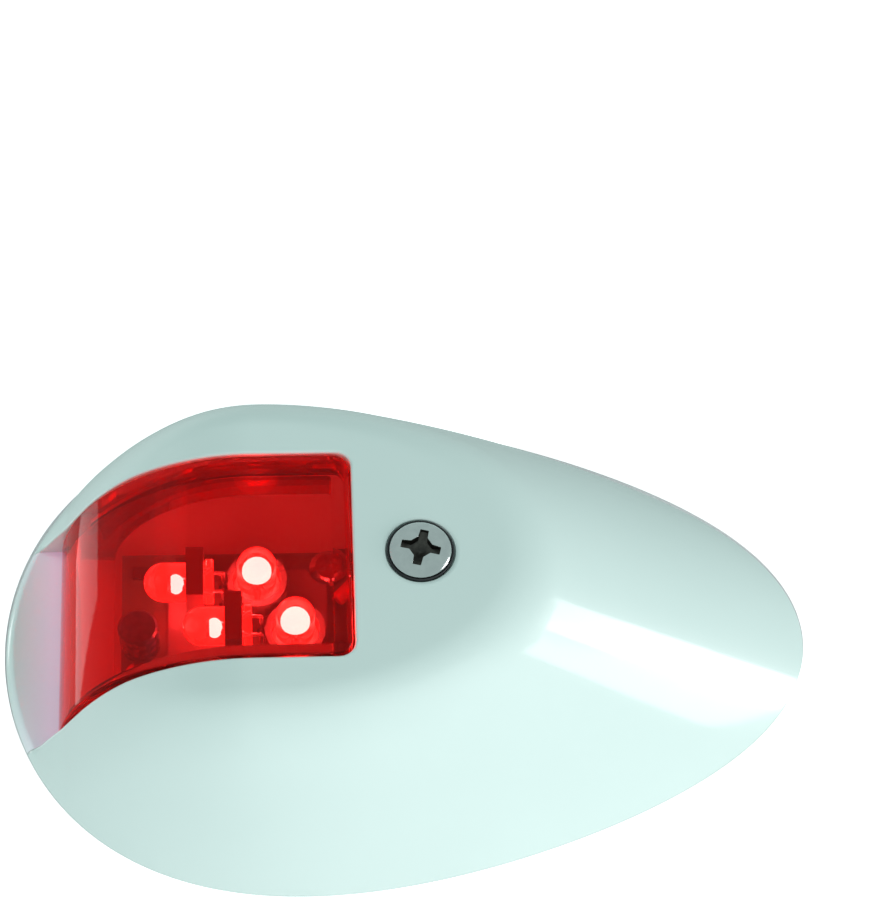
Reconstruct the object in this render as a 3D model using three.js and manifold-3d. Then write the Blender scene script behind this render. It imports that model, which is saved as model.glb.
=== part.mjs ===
// Port side LED navigation light for a small boat.
// Frame: z = 0 is the mounting face, +Z points outboard, -X points to the bow, +Y is up on the hull side.
// Units are millimetres. The assembly is a mounting gasket, a base plate that carries the electronics,
// a shell cover with a wrap-round red lens, and one screw with a seal that holds the cover down.
import * as THREE from 'three';
import { mergeVertices } from 'three/addons/utils/BufferGeometryUtils.js';
import Module from 'manifold-3d';

const wasm = await Module();
wasm.setup();

// ---- driving dimensions -------------------------------------------------------------------------

// egg-shaped outline of the cover: x = HALF_LENGTH cos t, y = HALF_WIDTH sin t * (1 + EGG[0] cos t + ...)
const HALF_LENGTH = 52.5;
const HALF_WIDTH = 33.3;
const EGG = [-0.27, 0.062, 0.0415];

// mounting gasket, a foam sheet that stands a little proud of the cover on the upper edge
const GASKET_THICKNESS = 0.8;
const GASKET_SHIFT_Y = 0.8;
const GASKET_PROUD = 0.3;

// cover shell, heights measured from the gasket
const PLATEAU_HEIGHT = 28.4;
const LIP_HEIGHT = 1.0;
const WALL = 2.5;
const WALL_BULGE = 0.5;
const SHOULDER_RADIUS = 3.6;
const SHELF_HEIGHT = 2.4;
const PLATEAU = { x: -21.0, tail: 35.7, bow: 20.2, side: 22.0 };

// bow profile shared by lens and cover: a quarter of a superellipse that runs into the level plateau
const BOW = { x: -20.1, a: 25.3, b: 26.65, power: 1.93, foot: 1.75, straightFrom: 0.88 };

// lens
const LENS_HALF_WIDTH = 13.95;
const LENS_END_X = -7.85;
const LENS_WALL = 2.2;
const LENS_SKIRT = 7.0;
const LENS_FLANGE = 2.2;
const LENS_GAP = 0.25;
const FLANGE_FOOT = 9.0;

// cover screw, number 8 oval head with a cross recess, in a thin seal
const SCREW_X = 0.8;
const SCREW_HEAD_RADIUS = 3.9;
const SCREW_RADIUS = 2.05;
const SCREW_HEAD_CONE = 2.1;
const SCREW_DOME = 1.1;
const SCREW_TIP_Z = 9.0;
const SEAL_THICKNESS = 0.3;
const RECESS = { length: 4.6, width: 0.95, depth: 2.2, turn: -0.24 };

// base plate and its post
const BASE_THICKNESS = 2.4;
const BASE_CLEARANCE = 0.5;
const SEAL_GROOVE = { z0: 1.0, z1: 1.8, inset: 4.0 };
const POST_RADIUS = 5.0;
const POST_TOP = 16.2;
const INSERT_RADIUS = 3.2;
const INSERT_LENGTH = 8.0;
const MOUNT_HOLES = [[-2.0, 21.0], [-2.0, -21.0], [39.0, 0.0]];
const MOUNT_HOLE_RADIUS = 2.3;
const COUNTERSINK_RADIUS = 4.4;

// cable inlet
const INLET_X = 14.0;
const GROMMET = { bore: 3.4, groove: 5.2, flange: 6.8, lip: 1.3 };

// circuit board and what stands on it
const BOARD = { x0: -37.0, x1: -7.0, halfWidth: 10.4, z: 7.0, thickness: 1.6 };
const BOARD_SCREWS = [[-34.0, -7.6], [-10.2, 7.6]];
const BOARD_SCREW = { head: 2.6, shank: 0.95, height: 1.6, slotLength: 2.8, slotWidth: 0.6 };
const BOARD_BOSS_RADIUS = 3.0;
const LED_RADIUS = 2.5;
const LED_LENGTH = 8.7;
const UPRIGHT_LEDS = [[-19.6, 4.0], [-14.8, -3.2]];
const LED_SEAT_Z = 11.2;
const FORWARD_LEDS = [[-33.8, 2.9], [-29.0, -3.4]];
const FORWARD_LED_Z = 15.4;
const LED_FLANGE = { width: 0.4, height: 1.0 };
const LEAD = 0.6;
const LEAD_TAIL = 0.8;
const LEAD_PITCH = 2.54;
const FORWARD_LEAD_X = 1.2;

// moulding that holds the LEDs, and the parts round it; places are [x, y] and sizes
// [length, width, height]
const HOLDER = {
  x0: -31.0, x1: -10.6, y0: -7.0, y1: 6.9, thickness: 2.0,
  collar: LED_RADIUS + 1.4, collarTop: 13.8, cheek: 2.2, cheekHalf: 3.4, cheekTop: 18.6,
};
const RESISTORS = [[-34.0, 7.6], [-28.6, 8.8]];
const RESISTOR_SIZE = [3.2, 1.6, 0.6];
const DIODE = { place: [-12.6, -8.6], size: [4.6, 2.6, 2.2] };
const DRIVER = { place: [-19.0, -8.9], size: [4.9, 2.6, 1.5] };
const CAPACITOR = { place: [-34.6, -2.6], radius: 2.5, height: 5.4 };

// terminal block
const BLOCK = { x0: 23.0, x1: 32.0, halfWidth: 8.0, height: 9.0, pitch: 8.0 };
const WIRE_RADIUS = 0.95;
const WIRE_HEIGHT = 2.6;
const PLATE_THICKNESS = 0.5;
const PLATE_TRAVEL = 1.25;
const WIRE_WAY = 1.5;
const TERMINAL_SCREW = { shank: 1.25, head: 1.85, height: 1.2, slotWidth: 0.6, slotDepth: 0.6 };

const BASE_TOP = GASKET_THICKNESS + BASE_THICKNESS;
const COVER_TOP = GASKET_THICKNESS + PLATEAU_HEIGHT;
const BOARD_TOP = BOARD.z + BOARD.thickness;
const SMALL_GAP = 0.3;
const BIG = 200;
const SHELF_BACK_X = BOW.x - BOW.a + 1.2;
const BASE_FRONT_X = SHELF_BACK_X + SMALL_GAP;

// ---- solids -------------------------------------------------------------------------------------

function toSolid(geometry) {
  const bare = geometry.index ? geometry.toNonIndexed() : geometry.clone();
  bare.deleteAttribute('normal');
  bare.deleteAttribute('uv');
  const merged = mergeVertices(bare, 1e-5);
  return new wasm.Manifold(new wasm.Mesh({
    numProp: 3,
    vertProperties: new Float32Array(merged.attributes.position.array),
    triVerts: new Uint32Array(merged.index.array),
  }));
}

function toGeometry(solid) {
  const mesh = solid.getMesh();
  const geometry = new THREE.BufferGeometry();
  geometry.setAttribute('position', new THREE.BufferAttribute(new Float32Array(mesh.vertProperties), 3));
  geometry.setIndex(new THREE.BufferAttribute(new Uint32Array(mesh.triVerts), 1));
  geometry.computeVertexNormals();
  return geometry;
}

const joined = (...solids) => solids.reduce((sum, solid) => sum.add(solid));
const cut = (solid, ...tools) => tools.reduce((rest, tool) => rest.subtract(tool), solid);

function box(x0, x1, y0, y1, z0, z1) {
  const geometry = new THREE.BoxGeometry(x1 - x0, y1 - y0, z1 - z0);
  return toSolid(geometry.translate((x0 + x1) / 2, (y0 + y1) / 2, (z0 + z1) / 2));
}

// a solid of revolution about a vertical axis, from [radius, z] points that start and end on the axis
function turned(x, y, profile, segments = 24) {
  const points = profile.map(([radius, z]) => new THREE.Vector2(radius, z));
  const geometry = new THREE.LatheGeometry(points, segments);
  return toSolid(geometry.rotateX(Math.PI / 2).translate(x, y, 0));
}

const rod = (x, y, radius, z0, z1, segments = 24) =>
  turned(x, y, [[0, z0], [radius, z0], [radius, z1], [0, z1]], segments);

function tube(x, y, inner, outer, z0, z1, segments = 24) {
  return cut(rod(x, y, outer, z0, z1, segments), rod(x, y, inner, z0 - 1, z1 + 1, segments));
}

// a flat plate from an outline of [x, y] points
function plate(outline, z0, z1) {
  const shape = new THREE.Shape(outline.map(([x, y]) => new THREE.Vector2(x, y)));
  const geometry = new THREE.ExtrudeGeometry(shape, { depth: z1 - z0, bevelEnabled: false });
  return toSolid(geometry.translate(0, 0, z0));
}

// a profile of [x, z] points drawn out along Y to both sides
function bar(profile, halfWidth) {
  const shape = new THREE.Shape(profile.map(([x, z]) => new THREE.Vector2(x, z)));
  const geometry = new THREE.ExtrudeGeometry(shape, { depth: 2 * halfWidth, bevelEnabled: false });
  return toSolid(geometry.rotateX(Math.PI / 2).translate(0, halfWidth, 0));
}

// ---- outline and cover surface ------------------------------------------------------------------

// point of the cover outline at parameter t, moved in by inset, with its outward normal
function outlinePoint(t, inset = 0) {
  const c = Math.cos(t);
  const s = Math.sin(t);
  const swell = 1 + EGG[0] * c + EGG[1] * c * c + EGG[2] * c ** 3;
  const swellRate = -s * (EGG[0] + 2 * EGG[1] * c + 3 * EGG[2] * c * c);
  const dx = -HALF_LENGTH * s;
  const dy = HALF_WIDTH * (c * swell + s * swellRate);
  const nx = dy / Math.hypot(dx, dy);
  const ny = -dx / Math.hypot(dx, dy);
  return { x: HALF_LENGTH * c - inset * nx, y: HALF_WIDTH * s * swell - inset * ny, nx, ny };
}

function outline(inset, segments) {
  const points = [];
  for (let i = 0; i < segments; i += 1) {
    const p = outlinePoint(2 * Math.PI * i / segments, inset);
    points.push([p.x, p.y]);
  }
  return points;
}

// point of the plateau outline, two half ellipses, that has the given outward normal
function plateauPoint(nx, ny, inset) {
  const a = nx > 0 ? PLATEAU.tail : PLATEAU.bow;
  const b = PLATEAU.side;
  const d = Math.hypot(a * nx, b * ny);
  return { x: PLATEAU.x + a * a * nx / d - inset * nx, y: b * b * ny / d - inset * ny };
}

// height of the bow profile above the gasket at x, for a surface that lies inset below the outer one
function bowHeight(x, inset) {
  const a = BOW.a - inset;
  const b = BOW.b - inset;
  const u = Math.max(0, (BOW.x - x) / a);
  if (u <= BOW.straightFrom) {
    return BOW.foot + b * (1 - u ** BOW.power) ** (1 / BOW.power);
  }
  const rest = 1 - BOW.straightFrom ** BOW.power;
  const slope = (b / a) * BOW.straightFrom ** (BOW.power - 1) * rest ** (1 / BOW.power - 1);
  return BOW.foot + b * rest ** (1 / BOW.power) - slope * (u - BOW.straightFrom) * a;
}

function smoothMinimum(p, q, width) {
  const h = Math.max(width - Math.abs(p - q), 0) / width;
  return Math.min(p, q) - h * h * width / 4;
}

// closed solid under the cover surface: ruled walls from the outline up to the plateau outline,
// blended into the bow profile and plateau; inset makes the matching inner surface; the walls bulge
// most at a third of their height, where 6.75 t (1 - t)^2 is one
function moundSolid(inset, footZ, segments, wallSteps, topSteps) {
  const rings = [];
  const centre = new THREE.Vector3(PLATEAU.x, 0, 0);
  const ringAt = (step) => {
    const ring = [];
    for (let i = 0; i < segments; i += 1) {
      const p = outlinePoint(2 * Math.PI * i / segments, inset);
      const q = plateauPoint(p.nx, p.ny, inset);
      const run = (p.x - q.x) * p.nx + (p.y - q.y) * p.ny;
      const slope = (PLATEAU_HEIGHT - LIP_HEIGHT) / run;
      const t = Math.min(step, 1);
      const over = Math.max(step - 1, 0);
      const bulge = WALL_BULGE * 6.75 * t * (1 - t) ** 2;
      let x = p.x + (q.x - p.x) * t + bulge * p.nx;
      let y = p.y + (q.y - p.y) * t + bulge * p.ny;
      const reach = (q.x - centre.x) * p.nx + q.y * p.ny;
      x += (centre.x - x) * over;
      y += (centre.y - y) * over;
      const wall = LIP_HEIGHT + (PLATEAU_HEIGHT - LIP_HEIGHT - inset) * t + slope * over * reach;
      const sheet = Math.max(bowHeight(x, inset), SHELF_HEIGHT + 0.2);
      const width = Math.min(SHOULDER_RADIUS * slope, 0.9 * sheet);
      ring.push([x, y, GASKET_THICKNESS + smoothMinimum(wall, sheet, width)]);
    }
    return ring;
  };
  rings.push(outline(inset, segments).map(([x, y]) => [x, y, footZ]));
  wallSteps.forEach((step) => rings.push(ringAt(step)));
  topSteps.forEach((step) => rings.push(ringAt(1 + step)));
  const top = GASKET_THICKNESS + bowHeight(centre.x, inset);
  const vertices = rings.flat(2).concat([centre.x, 0, footZ, centre.x, 0, top]);
  const index = [];
  const bottom = rings.length * segments;
  for (let i = 0; i < segments; i += 1) {
    const j = (i + 1) % segments;
    index.push(bottom, j, i);
    for (let r = 0; r + 1 < rings.length; r += 1) {
      const a = r * segments + i;
      const b = r * segments + j;
      index.push(a, b, b + segments, a, b + segments, a + segments);
    }
    const last = (rings.length - 1) * segments;
    index.push(last + i, last + j, bottom + 1);
  }
  const geometry = new THREE.BufferGeometry();
  geometry.setAttribute('position', new THREE.Float32BufferAttribute(vertices, 3));
  geometry.setIndex(index);
  return toSolid(geometry);
}

const WALL_STEPS = [0, 0.2, 0.4, 0.6, 0.74, 0.86, 1];
const TOP_STEPS = [0.08, 0.16, 0.26, 0.4, 0.6, 0.8];
const cavity = (inset, footZ) => moundSolid(inset, footZ, 48, [0, 0.3, 0.6, 0.8, 1], [0.12, 0.3, 0.6]);

// ---- lens profile -------------------------------------------------------------------------------

// the bow profile in [x, z] points, inset below the outer surface, from footZ up and aft to endX
function bowCurve(inset, footZ, endX, steps = 14) {
  const a = BOW.a - inset;
  const b = BOW.b - inset;
  const foot = Math.max(0, footZ - GASKET_THICKNESS - BOW.foot);
  const start = Math.asin(Math.min(1, (foot / b) ** (BOW.power / 2)));
  const points = [];
  for (let i = 0; i <= steps; i += 1) {
    const angle = start + (Math.PI / 2 - start) * i / steps;
    const x = BOW.x - a * Math.cos(angle) ** (2 / BOW.power);
    const z = BOW.foot + b * Math.sin(angle) ** (2 / BOW.power);
    points.push([x, GASKET_THICKNESS + z]);
  }
  points.push([endX, GASKET_THICKNESS + BOW.foot + b]);
  return points;
}

// closed profile between two insets
function bowBand(outer, inner, footZ, endX) {
  return bowCurve(outer, footZ, endX).concat(bowCurve(inner, footZ, endX).reverse());
}

// ---- cover group --------------------------------------------------------------------------------

function makeCover() {
  const windowHalf = LENS_HALF_WIDTH + LENS_GAP;
  const shelfZ = GASKET_THICKNESS + SHELF_HEIGHT;
  const headZ = COVER_TOP - SCREW_HEAD_CONE - SEAL_THICKNESS;
  const outer = moundSolid(0, GASKET_THICKNESS, 72, WALL_STEPS, TOP_STEPS);
  const hollow = cut(cavity(WALL, GASKET_THICKNESS - 1), box(-BIG, SHELF_BACK_X, -BIG, BIG, -1, shelfZ));
  const bossBottom = POST_TOP + SMALL_GAP;
  const boss = rod(SCREW_X, 0, POST_RADIUS, bossBottom, COVER_TOP - 1);
  const notch = box(-BIG, SHELF_BACK_X, -windowHalf, windowHalf, shelfZ, BIG);
  const window = box(SHELF_BACK_X - 1, LENS_END_X + LENS_GAP, -windowHalf, windowHalf, shelfZ, BIG);
  const hole = rod(SCREW_X, 0, SCREW_RADIUS + SMALL_GAP, 0, BIG);
  const seat = SCREW_HEAD_RADIUS + SEAL_THICKNESS + 0.15;
  const throat = SCREW_RADIUS + SMALL_GAP;
  const countersink = turned(SCREW_X, 0, [
    [0, headZ - 0.4], [throat, headZ - 0.4], [throat + 0.5, headZ], [seat, COVER_TOP - 0.35],
    [seat, COVER_TOP + 5], [0, COVER_TOP + 5],
  ], 24);
  return cut(joined(cut(outer, hollow), boss), notch, window, hole, countersink);
}

function makeLens() {
  const footZ = GASKET_THICKNESS + SHELF_HEIGHT + 0.4;
  const shell = bar(bowBand(0, LENS_SKIRT, footZ, LENS_END_X), LENS_HALF_WIDTH);
  const room = bar(
    bowBand(LENS_WALL, LENS_SKIRT + 2, footZ + LENS_WALL, LENS_END_X - LENS_WALL),
    LENS_HALF_WIDTH - LENS_WALL,
  );
  const flange = cut(
    windowFrame(WALL + 0.95, WALL + 2.35),
    bar(bowBand(1, LENS_SKIRT + 2, 0, LENS_END_X - 1), LENS_HALF_WIDTH - 1),
  );
  return joined(cut(shell, room), flange);
}

// frame of even thickness that lies against the inside of the cover, round three sides of the window
function windowFrame(outerInset, innerInset) {
  const sheet = cut(cavity(outerInset, 0), cavity(innerInset, -1));
  const halfWidth = LENS_HALF_WIDTH + LENS_FLANGE;
  const reach = box(-BIG, LENS_END_X + LENS_FLANGE, -halfWidth, halfWidth, FLANGE_FOOT, BIG);
  return sheet.intersect(reach);
}

function makeLensGasket() {
  const halfWidth = LENS_HALF_WIDTH + LENS_GAP;
  const opening = box(-BIG, LENS_END_X + LENS_GAP, -halfWidth, halfWidth, -1, BIG);
  return cut(windowFrame(WALL + 0.1, WALL + 0.85), opening);
}

function makeCoverScrew() {
  const headZ = COVER_TOP - SCREW_HEAD_CONE;
  const profile = [[0, SCREW_TIP_Z], [SCREW_RADIUS - 0.6, SCREW_TIP_Z], [SCREW_RADIUS, SCREW_TIP_Z + 0.8]];
  profile.push([SCREW_RADIUS, headZ], [SCREW_HEAD_RADIUS, COVER_TOP - 0.2], [SCREW_HEAD_RADIUS, COVER_TOP]);
  for (let i = 1; i <= 4; i += 1) {
    const angle = Math.PI / 2 * i / 4;
    profile.push([SCREW_HEAD_RADIUS * Math.cos(angle), COVER_TOP + SCREW_DOME * Math.sin(angle)]);
  }
  profile[profile.length - 1][0] = 0;
  const slots = [0, 1].map((i) => {
    const slot = new THREE.BoxGeometry(RECESS.length, RECESS.width, 2 * RECESS.depth);
    slot.rotateZ(RECESS.turn + i * Math.PI / 2).translate(SCREW_X, 0, COVER_TOP + SCREW_DOME);
    return toSolid(slot);
  });
  return cut(turned(SCREW_X, 0, profile, 24), ...slots);
}

function makeScrewSeal() {
  const headZ = COVER_TOP - SCREW_HEAD_CONE;
  const bore = SCREW_RADIUS + 0.1;
  const rim = SCREW_HEAD_RADIUS + SEAL_THICKNESS;
  const cup = turned(SCREW_X, 0, [
    [0, headZ - SEAL_THICKNESS], [bore + 0.35, headZ - SEAL_THICKNESS], [rim, COVER_TOP - 0.3],
    [rim, COVER_TOP], [0, COVER_TOP],
  ], 24);
  const head = turned(SCREW_X, 0, [
    [0, headZ - 1], [bore, headZ - 1], [bore, headZ], [SCREW_HEAD_RADIUS + 0.08, COVER_TOP - 0.2],
    [SCREW_HEAD_RADIUS + 0.08, COVER_TOP + 1], [0, COVER_TOP + 1],
  ], 24);
  return cut(cup, head);
}

// ---- base group ---------------------------------------------------------------------------------

function makeMountingGasket() {
  const edge = outline(-GASKET_PROUD, 72).map(([x, y]) => [x, y + GASKET_SHIFT_Y]);
  const sheet = plate(edge, 0, GASKET_THICKNESS);
  const holes = MOUNT_HOLES.map(([x, y]) => rod(x, y, MOUNT_HOLE_RADIUS + 0.4, -1, 2, 16));
  return cut(sheet, rod(INLET_X, 0, GROMMET.flange + 0.4, -1, 2), ...holes);
}

function makeBasePlate() {
  const sheet = cut(
    cavity(WALL + BASE_CLEARANCE, GASKET_THICKNESS),
    box(-BIG, BIG, -BIG, BIG, BASE_TOP, BIG),
    box(-BIG, BASE_FRONT_X, -BIG, BIG, -1, BIG),
    sealRing(SEAL_GROOVE.z0, SEAL_GROOVE.z1, 0, SEAL_GROOVE.inset),
  );
  const post = rod(SCREW_X, 0, POST_RADIUS, BASE_TOP - 1, POST_TOP);
  const insertPocket = rod(SCREW_X, 0, INSERT_RADIUS + 0.02, POST_TOP - INSERT_LENGTH, POST_TOP + 1);
  const screwRoom = rod(SCREW_X, 0, SCREW_RADIUS + SMALL_GAP, BASE_TOP + 1, POST_TOP);
  const bosses = BOARD_SCREWS.map(([x, y]) => rod(x, y, BOARD_BOSS_RADIUS, BASE_TOP - 1, BOARD.z, 16));
  const pilot = BOARD_SCREW.shank + 0.2;
  const pilots = BOARD_SCREWS.map(([x, y]) => rod(x, y, pilot, BASE_TOP - 1, BOARD.z + 1, 12));
  const holes = MOUNT_HOLES.map(([x, y]) => turned(x, y, [
    [0, -1], [MOUNT_HOLE_RADIUS, -1], [MOUNT_HOLE_RADIUS, BASE_TOP - 1.9],
    [COUNTERSINK_RADIUS, BASE_TOP + 0.1], [COUNTERSINK_RADIUS, BASE_TOP + 1], [0, BASE_TOP + 1],
  ], 20));
  const inlet = rod(INLET_X, 0, GROMMET.groove + 0.02, -1, BASE_TOP + 1);
  return cut(joined(sheet, post, ...bosses), insertPocket, screwRoom, inlet, ...pilots, ...holes);
}

const sealRing = (z0, z1, outer, inner) =>
  cut(plate(outline(outer, 60), z0, z1), plate(outline(inner, 60), z0 - 1, z1 + 1));

function makeCoverSeal() {
  const { z0, z1, inset } = SEAL_GROOVE;
  const ring = sealRing(z0 + 0.05, z1 - 0.05, WALL + 0.1, inset - 0.1);
  return cut(ring, box(-BIG, BASE_FRONT_X, -BIG, BIG, -1, BIG));
}

const makeInsert = () =>
  tube(SCREW_X, 0, SCREW_RADIUS + 0.05, INSERT_RADIUS, POST_TOP - INSERT_LENGTH, POST_TOP, 24);

function makeGrommet() {
  const { bore, groove, flange, lip } = GROMMET;
  const top = BASE_TOP + lip;
  const body = turned(INLET_X, 0, [
    [0, 0], [flange, 0], [flange, GASKET_THICKNESS], [groove, GASKET_THICKNESS], [groove, BASE_TOP],
    [flange, BASE_TOP], [flange - 0.7, top], [0, top],
  ]);
  return cut(body, rod(INLET_X, 0, bore, -1, BIG));
}

// ---- electronics --------------------------------------------------------------------------------

const leadPlaces = (x, y) => [-1, 1].map((side) => [x, y + side * LEAD_PITCH / 2]);

const boardLeads = () => UPRIGHT_LEDS.flatMap(([x, y]) => leadPlaces(x, y))
  .concat(FORWARD_LEDS.flatMap(([x, y]) => leadPlaces(x + LED_LENGTH + FORWARD_LEAD_X, y)));

function makeBoard() {
  const { x0, x1, halfWidth, z } = BOARD;
  const slab = box(x0, x1, -halfWidth, halfWidth, z, BOARD_TOP);
  const screwHoles = BOARD_SCREWS.map(([x, y]) => rod(x, y, 1.6, 0, BIG, 16));
  const leadHoles = boardLeads().map(([x, y]) => rod(x, y, 0.65, 0, BIG, 8));
  return cut(slab, ...screwHoles, ...leadHoles);
}

// profile of a round LED along its axis, flange first
function ledProfile(z) {
  const shoulder = z + LED_LENGTH - LED_RADIUS;
  const flange = LED_RADIUS + LED_FLANGE.width;
  const flangeTop = z + LED_FLANGE.height;
  const points = [[0, z], [flange, z], [flange, flangeTop], [LED_RADIUS, flangeTop]];
  for (let i = 0; i <= 4; i += 1) {
    const angle = Math.PI / 2 * i / 4;
    points.push([LED_RADIUS * Math.cos(angle), shoulder + LED_RADIUS * Math.sin(angle)]);
  }
  points[points.length - 1][0] = 0;
  return points;
}

const leadBox = (x, y, z0, z1) => box(x - LEAD / 2, x + LEAD / 2, y - LEAD / 2, y + LEAD / 2, z0, z1);

function makeUprightLed([x, y]) {
  const leads = leadPlaces(x, y).map(([lx, ly]) => leadBox(lx, ly, BOARD.z - LEAD_TAIL, LED_SEAT_Z + 0.5));
  return joined(turned(x, y, ledProfile(LED_SEAT_Z), 16), ...leads);
}

function makeForwardLed([x, y]) {
  const back = x + LED_LENGTH;
  const body = turned(0, 0, ledProfile(0), 16).rotate([0, -90, 0]).translate([back, y, FORWARD_LED_Z]);
  const low = FORWARD_LED_Z - LEAD / 2;
  const high = FORWARD_LED_Z + LEAD / 2;
  const leads = leadPlaces(back + FORWARD_LEAD_X, y).map(([lx, ly]) => joined(
    leadBox(lx, ly, BOARD.z - LEAD_TAIL, high),
    box(back - 0.5, lx, ly - LEAD / 2, ly + LEAD / 2, low, high),
  ));
  return joined(body, ...leads);
}

// dark moulding that holds the LEDs: a slab on the board, two collars and two upright cheeks
function makeLedHolder() {
  const { x0, x1, y0, y1, thickness, collar, collarTop, cheek, cheekHalf, cheekTop } = HOLDER;
  const slabTop = BOARD_TOP + thickness;
  const slab = box(x0, x1, y0, y1, BOARD_TOP, slabTop);
  const collars = UPRIGHT_LEDS.map(([x, y]) => rod(x, y, collar, slabTop - 1, collarTop, 24));
  const seatRadius = LED_RADIUS + LED_FLANGE.width + 0.2;
  const seats = UPRIGHT_LEDS.map(([x, y]) => rod(x, y, seatRadius, LED_SEAT_Z - 0.05, BIG, 24));
  const cheeks = FORWARD_LEDS.map(([x, y]) => {
    const rear = x + LED_LENGTH - LED_FLANGE.height - 0.2;
    return box(rear - cheek, rear, y - cheekHalf, y + cheekHalf, slabTop - 1, cheekTop);
  });
  const bores = FORWARD_LEDS.map(([x, y]) => rod(0, 0, LED_RADIUS + 0.15, 0, LED_LENGTH + 2, 24)
    .rotate([0, -90, 0]).translate([x + LED_LENGTH + 1, y, FORWARD_LED_Z]));
  const slots = boardLeads().map(([x, y]) => box(x - 0.6, x + 0.6, y - 0.6, y + 0.6, 0, BIG));
  const roomRadius = BOARD_SCREW.head + 0.4;
  const screwRoom = BOARD_SCREWS.map(([x, y]) => rod(x, y, roomRadius, BOARD_TOP - 1, BIG, 20));
  return cut(joined(slab, ...collars, ...cheeks), ...seats, ...bores, ...slots, ...screwRoom);
}

// chamfered block for a moulded component, standing on the board or on the base plate
function component([x, y], [length, width, height], z) {
  const bevel = Math.min(length, width, height) * 0.12;
  const l = length / 2;
  const w = width / 2;
  const shape = new THREE.Shape([[l, w], [-l, w], [-l, -w], [l, -w]]
    .map(([px, py]) => new THREE.Vector2(px - Math.sign(px) * bevel, py - Math.sign(py) * bevel)));
  const geometry = new THREE.ExtrudeGeometry(shape, {
    depth: height - 2 * bevel, bevelThickness: bevel, bevelSize: bevel, bevelSegments: 1,
  });
  return toSolid(geometry.translate(x, y, z + bevel));
}

// round can with a crimp near its foot
function makeCapacitor() {
  const { place, radius, height } = CAPACITOR;
  const top = BOARD_TOP + height;
  return turned(place[0], place[1], [
    [0, BOARD_TOP], [radius, BOARD_TOP], [radius, BOARD_TOP + 0.8], [radius - 0.2, BOARD_TOP + 1.1],
    [radius, BOARD_TOP + 1.4], [radius, top - 0.3], [radius - 0.3, top], [0, top],
  ], 20);
}

function makeBoardScrew([x, y]) {
  const { head, shank, height, slotLength, slotWidth } = BOARD_SCREW;
  const top = BOARD_TOP + height;
  const profile = [[0, BASE_TOP + 0.2], [shank, BASE_TOP + 1], [shank, BOARD_TOP], [head, BOARD_TOP]];
  profile.push([head, top - 0.7], [head * 0.7, top], [0, top]);
  const slots = [0, 1].map((i) => {
    const slot = new THREE.BoxGeometry(slotLength, slotWidth, height);
    return toSolid(slot.rotateZ(0.5 + i * Math.PI / 2).translate(x, y, top));
  });
  return cut(turned(x, y, profile, 20), ...slots);
}

// ---- terminal block -----------------------------------------------------------------------------

const terminalY = (side) => side * BLOCK.pitch / 2;
const BLOCK_MIDDLE_X = (BLOCK.x0 + BLOCK.x1) / 2;
const WIRE_Z = BASE_TOP + WIRE_HEIGHT;
const PLATE_Z = WIRE_Z + WIRE_RADIUS + 0.1;
const CAGE_CEILING = PLATE_Z + PLATE_THICKNESS + PLATE_TRAVEL + 0.1;
const CAGE = { half: 2.3, wall: 0.8, floor: BASE_TOP + 0.8, ceiling: CAGE_CEILING, top: CAGE_CEILING + 1.2 };

function makeTerminalBlock() {
  const x = BLOCK_MIDDLE_X;
  const size = [BLOCK.x1 - BLOCK.x0, 2 * BLOCK.halfWidth, BLOCK.height];
  const body = component([x, 0], size, BASE_TOP);
  const room = CAGE.half + SMALL_GAP;
  const rooms = [-1, 1].map(terminalY).map((y) => joined(
    box(x - room, x + room, y - room, y + room, CAGE.floor - SMALL_GAP, CAGE.top + SMALL_GAP),
    rod(x, y, TERMINAL_SCREW.head + 0.25, CAGE.top, BASE_TOP + BLOCK.height + 1, 16),
    box(BLOCK.x0 - 1, BLOCK.x1 + 1, y - WIRE_WAY, y + WIRE_WAY, WIRE_Z - WIRE_WAY, WIRE_Z + WIRE_WAY),
  ));
  return cut(body, ...rooms);
}

// brass cage that holds the stripped wire; the screw threads through its roof
function makeClamp(side) {
  const { half, wall, floor, ceiling, top } = CAGE;
  const x = BLOCK_MIDDLE_X;
  const y = terminalY(side);
  const cage = box(x - half, x + half, y - half, y + half, floor, top);
  const room = box(x - half - 1, x + half + 1, y - half + wall, y + half - wall, floor + wall, ceiling);
  return cut(cage, room, rod(x, y, TERMINAL_SCREW.shank + 0.1, ceiling - 1, top + 1, 16));
}

// plate between the screw tip and the wire; it rises and falls with the screw
function makePressurePlate(side) {
  const x = BLOCK_MIDDLE_X;
  const y = terminalY(side);
  const half = CAGE.half - CAGE.wall - 0.1;
  return box(x - half, x + half, y - half, y + half, PLATE_Z, PLATE_Z + PLATE_THICKNESS);
}

function makeTerminalScrew(side) {
  const x = BLOCK_MIDDLE_X;
  const y = terminalY(side);
  const foot = PLATE_Z + PLATE_THICKNESS + 0.02;
  const { shank, head, height, slotWidth, slotDepth } = TERMINAL_SCREW;
  const neck = CAGE.top + 0.15;
  const top = neck + height;
  const profile = [[0, foot], [shank, foot], [shank, neck], [head, neck], [head, top], [0, top]];
  const slot = new THREE.BoxGeometry(2 * head + 1, slotWidth, 2 * slotDepth);
  return cut(turned(x, y, profile, 16), toSolid(slot.rotateZ(0.4).translate(x, y, top)));
}

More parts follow.
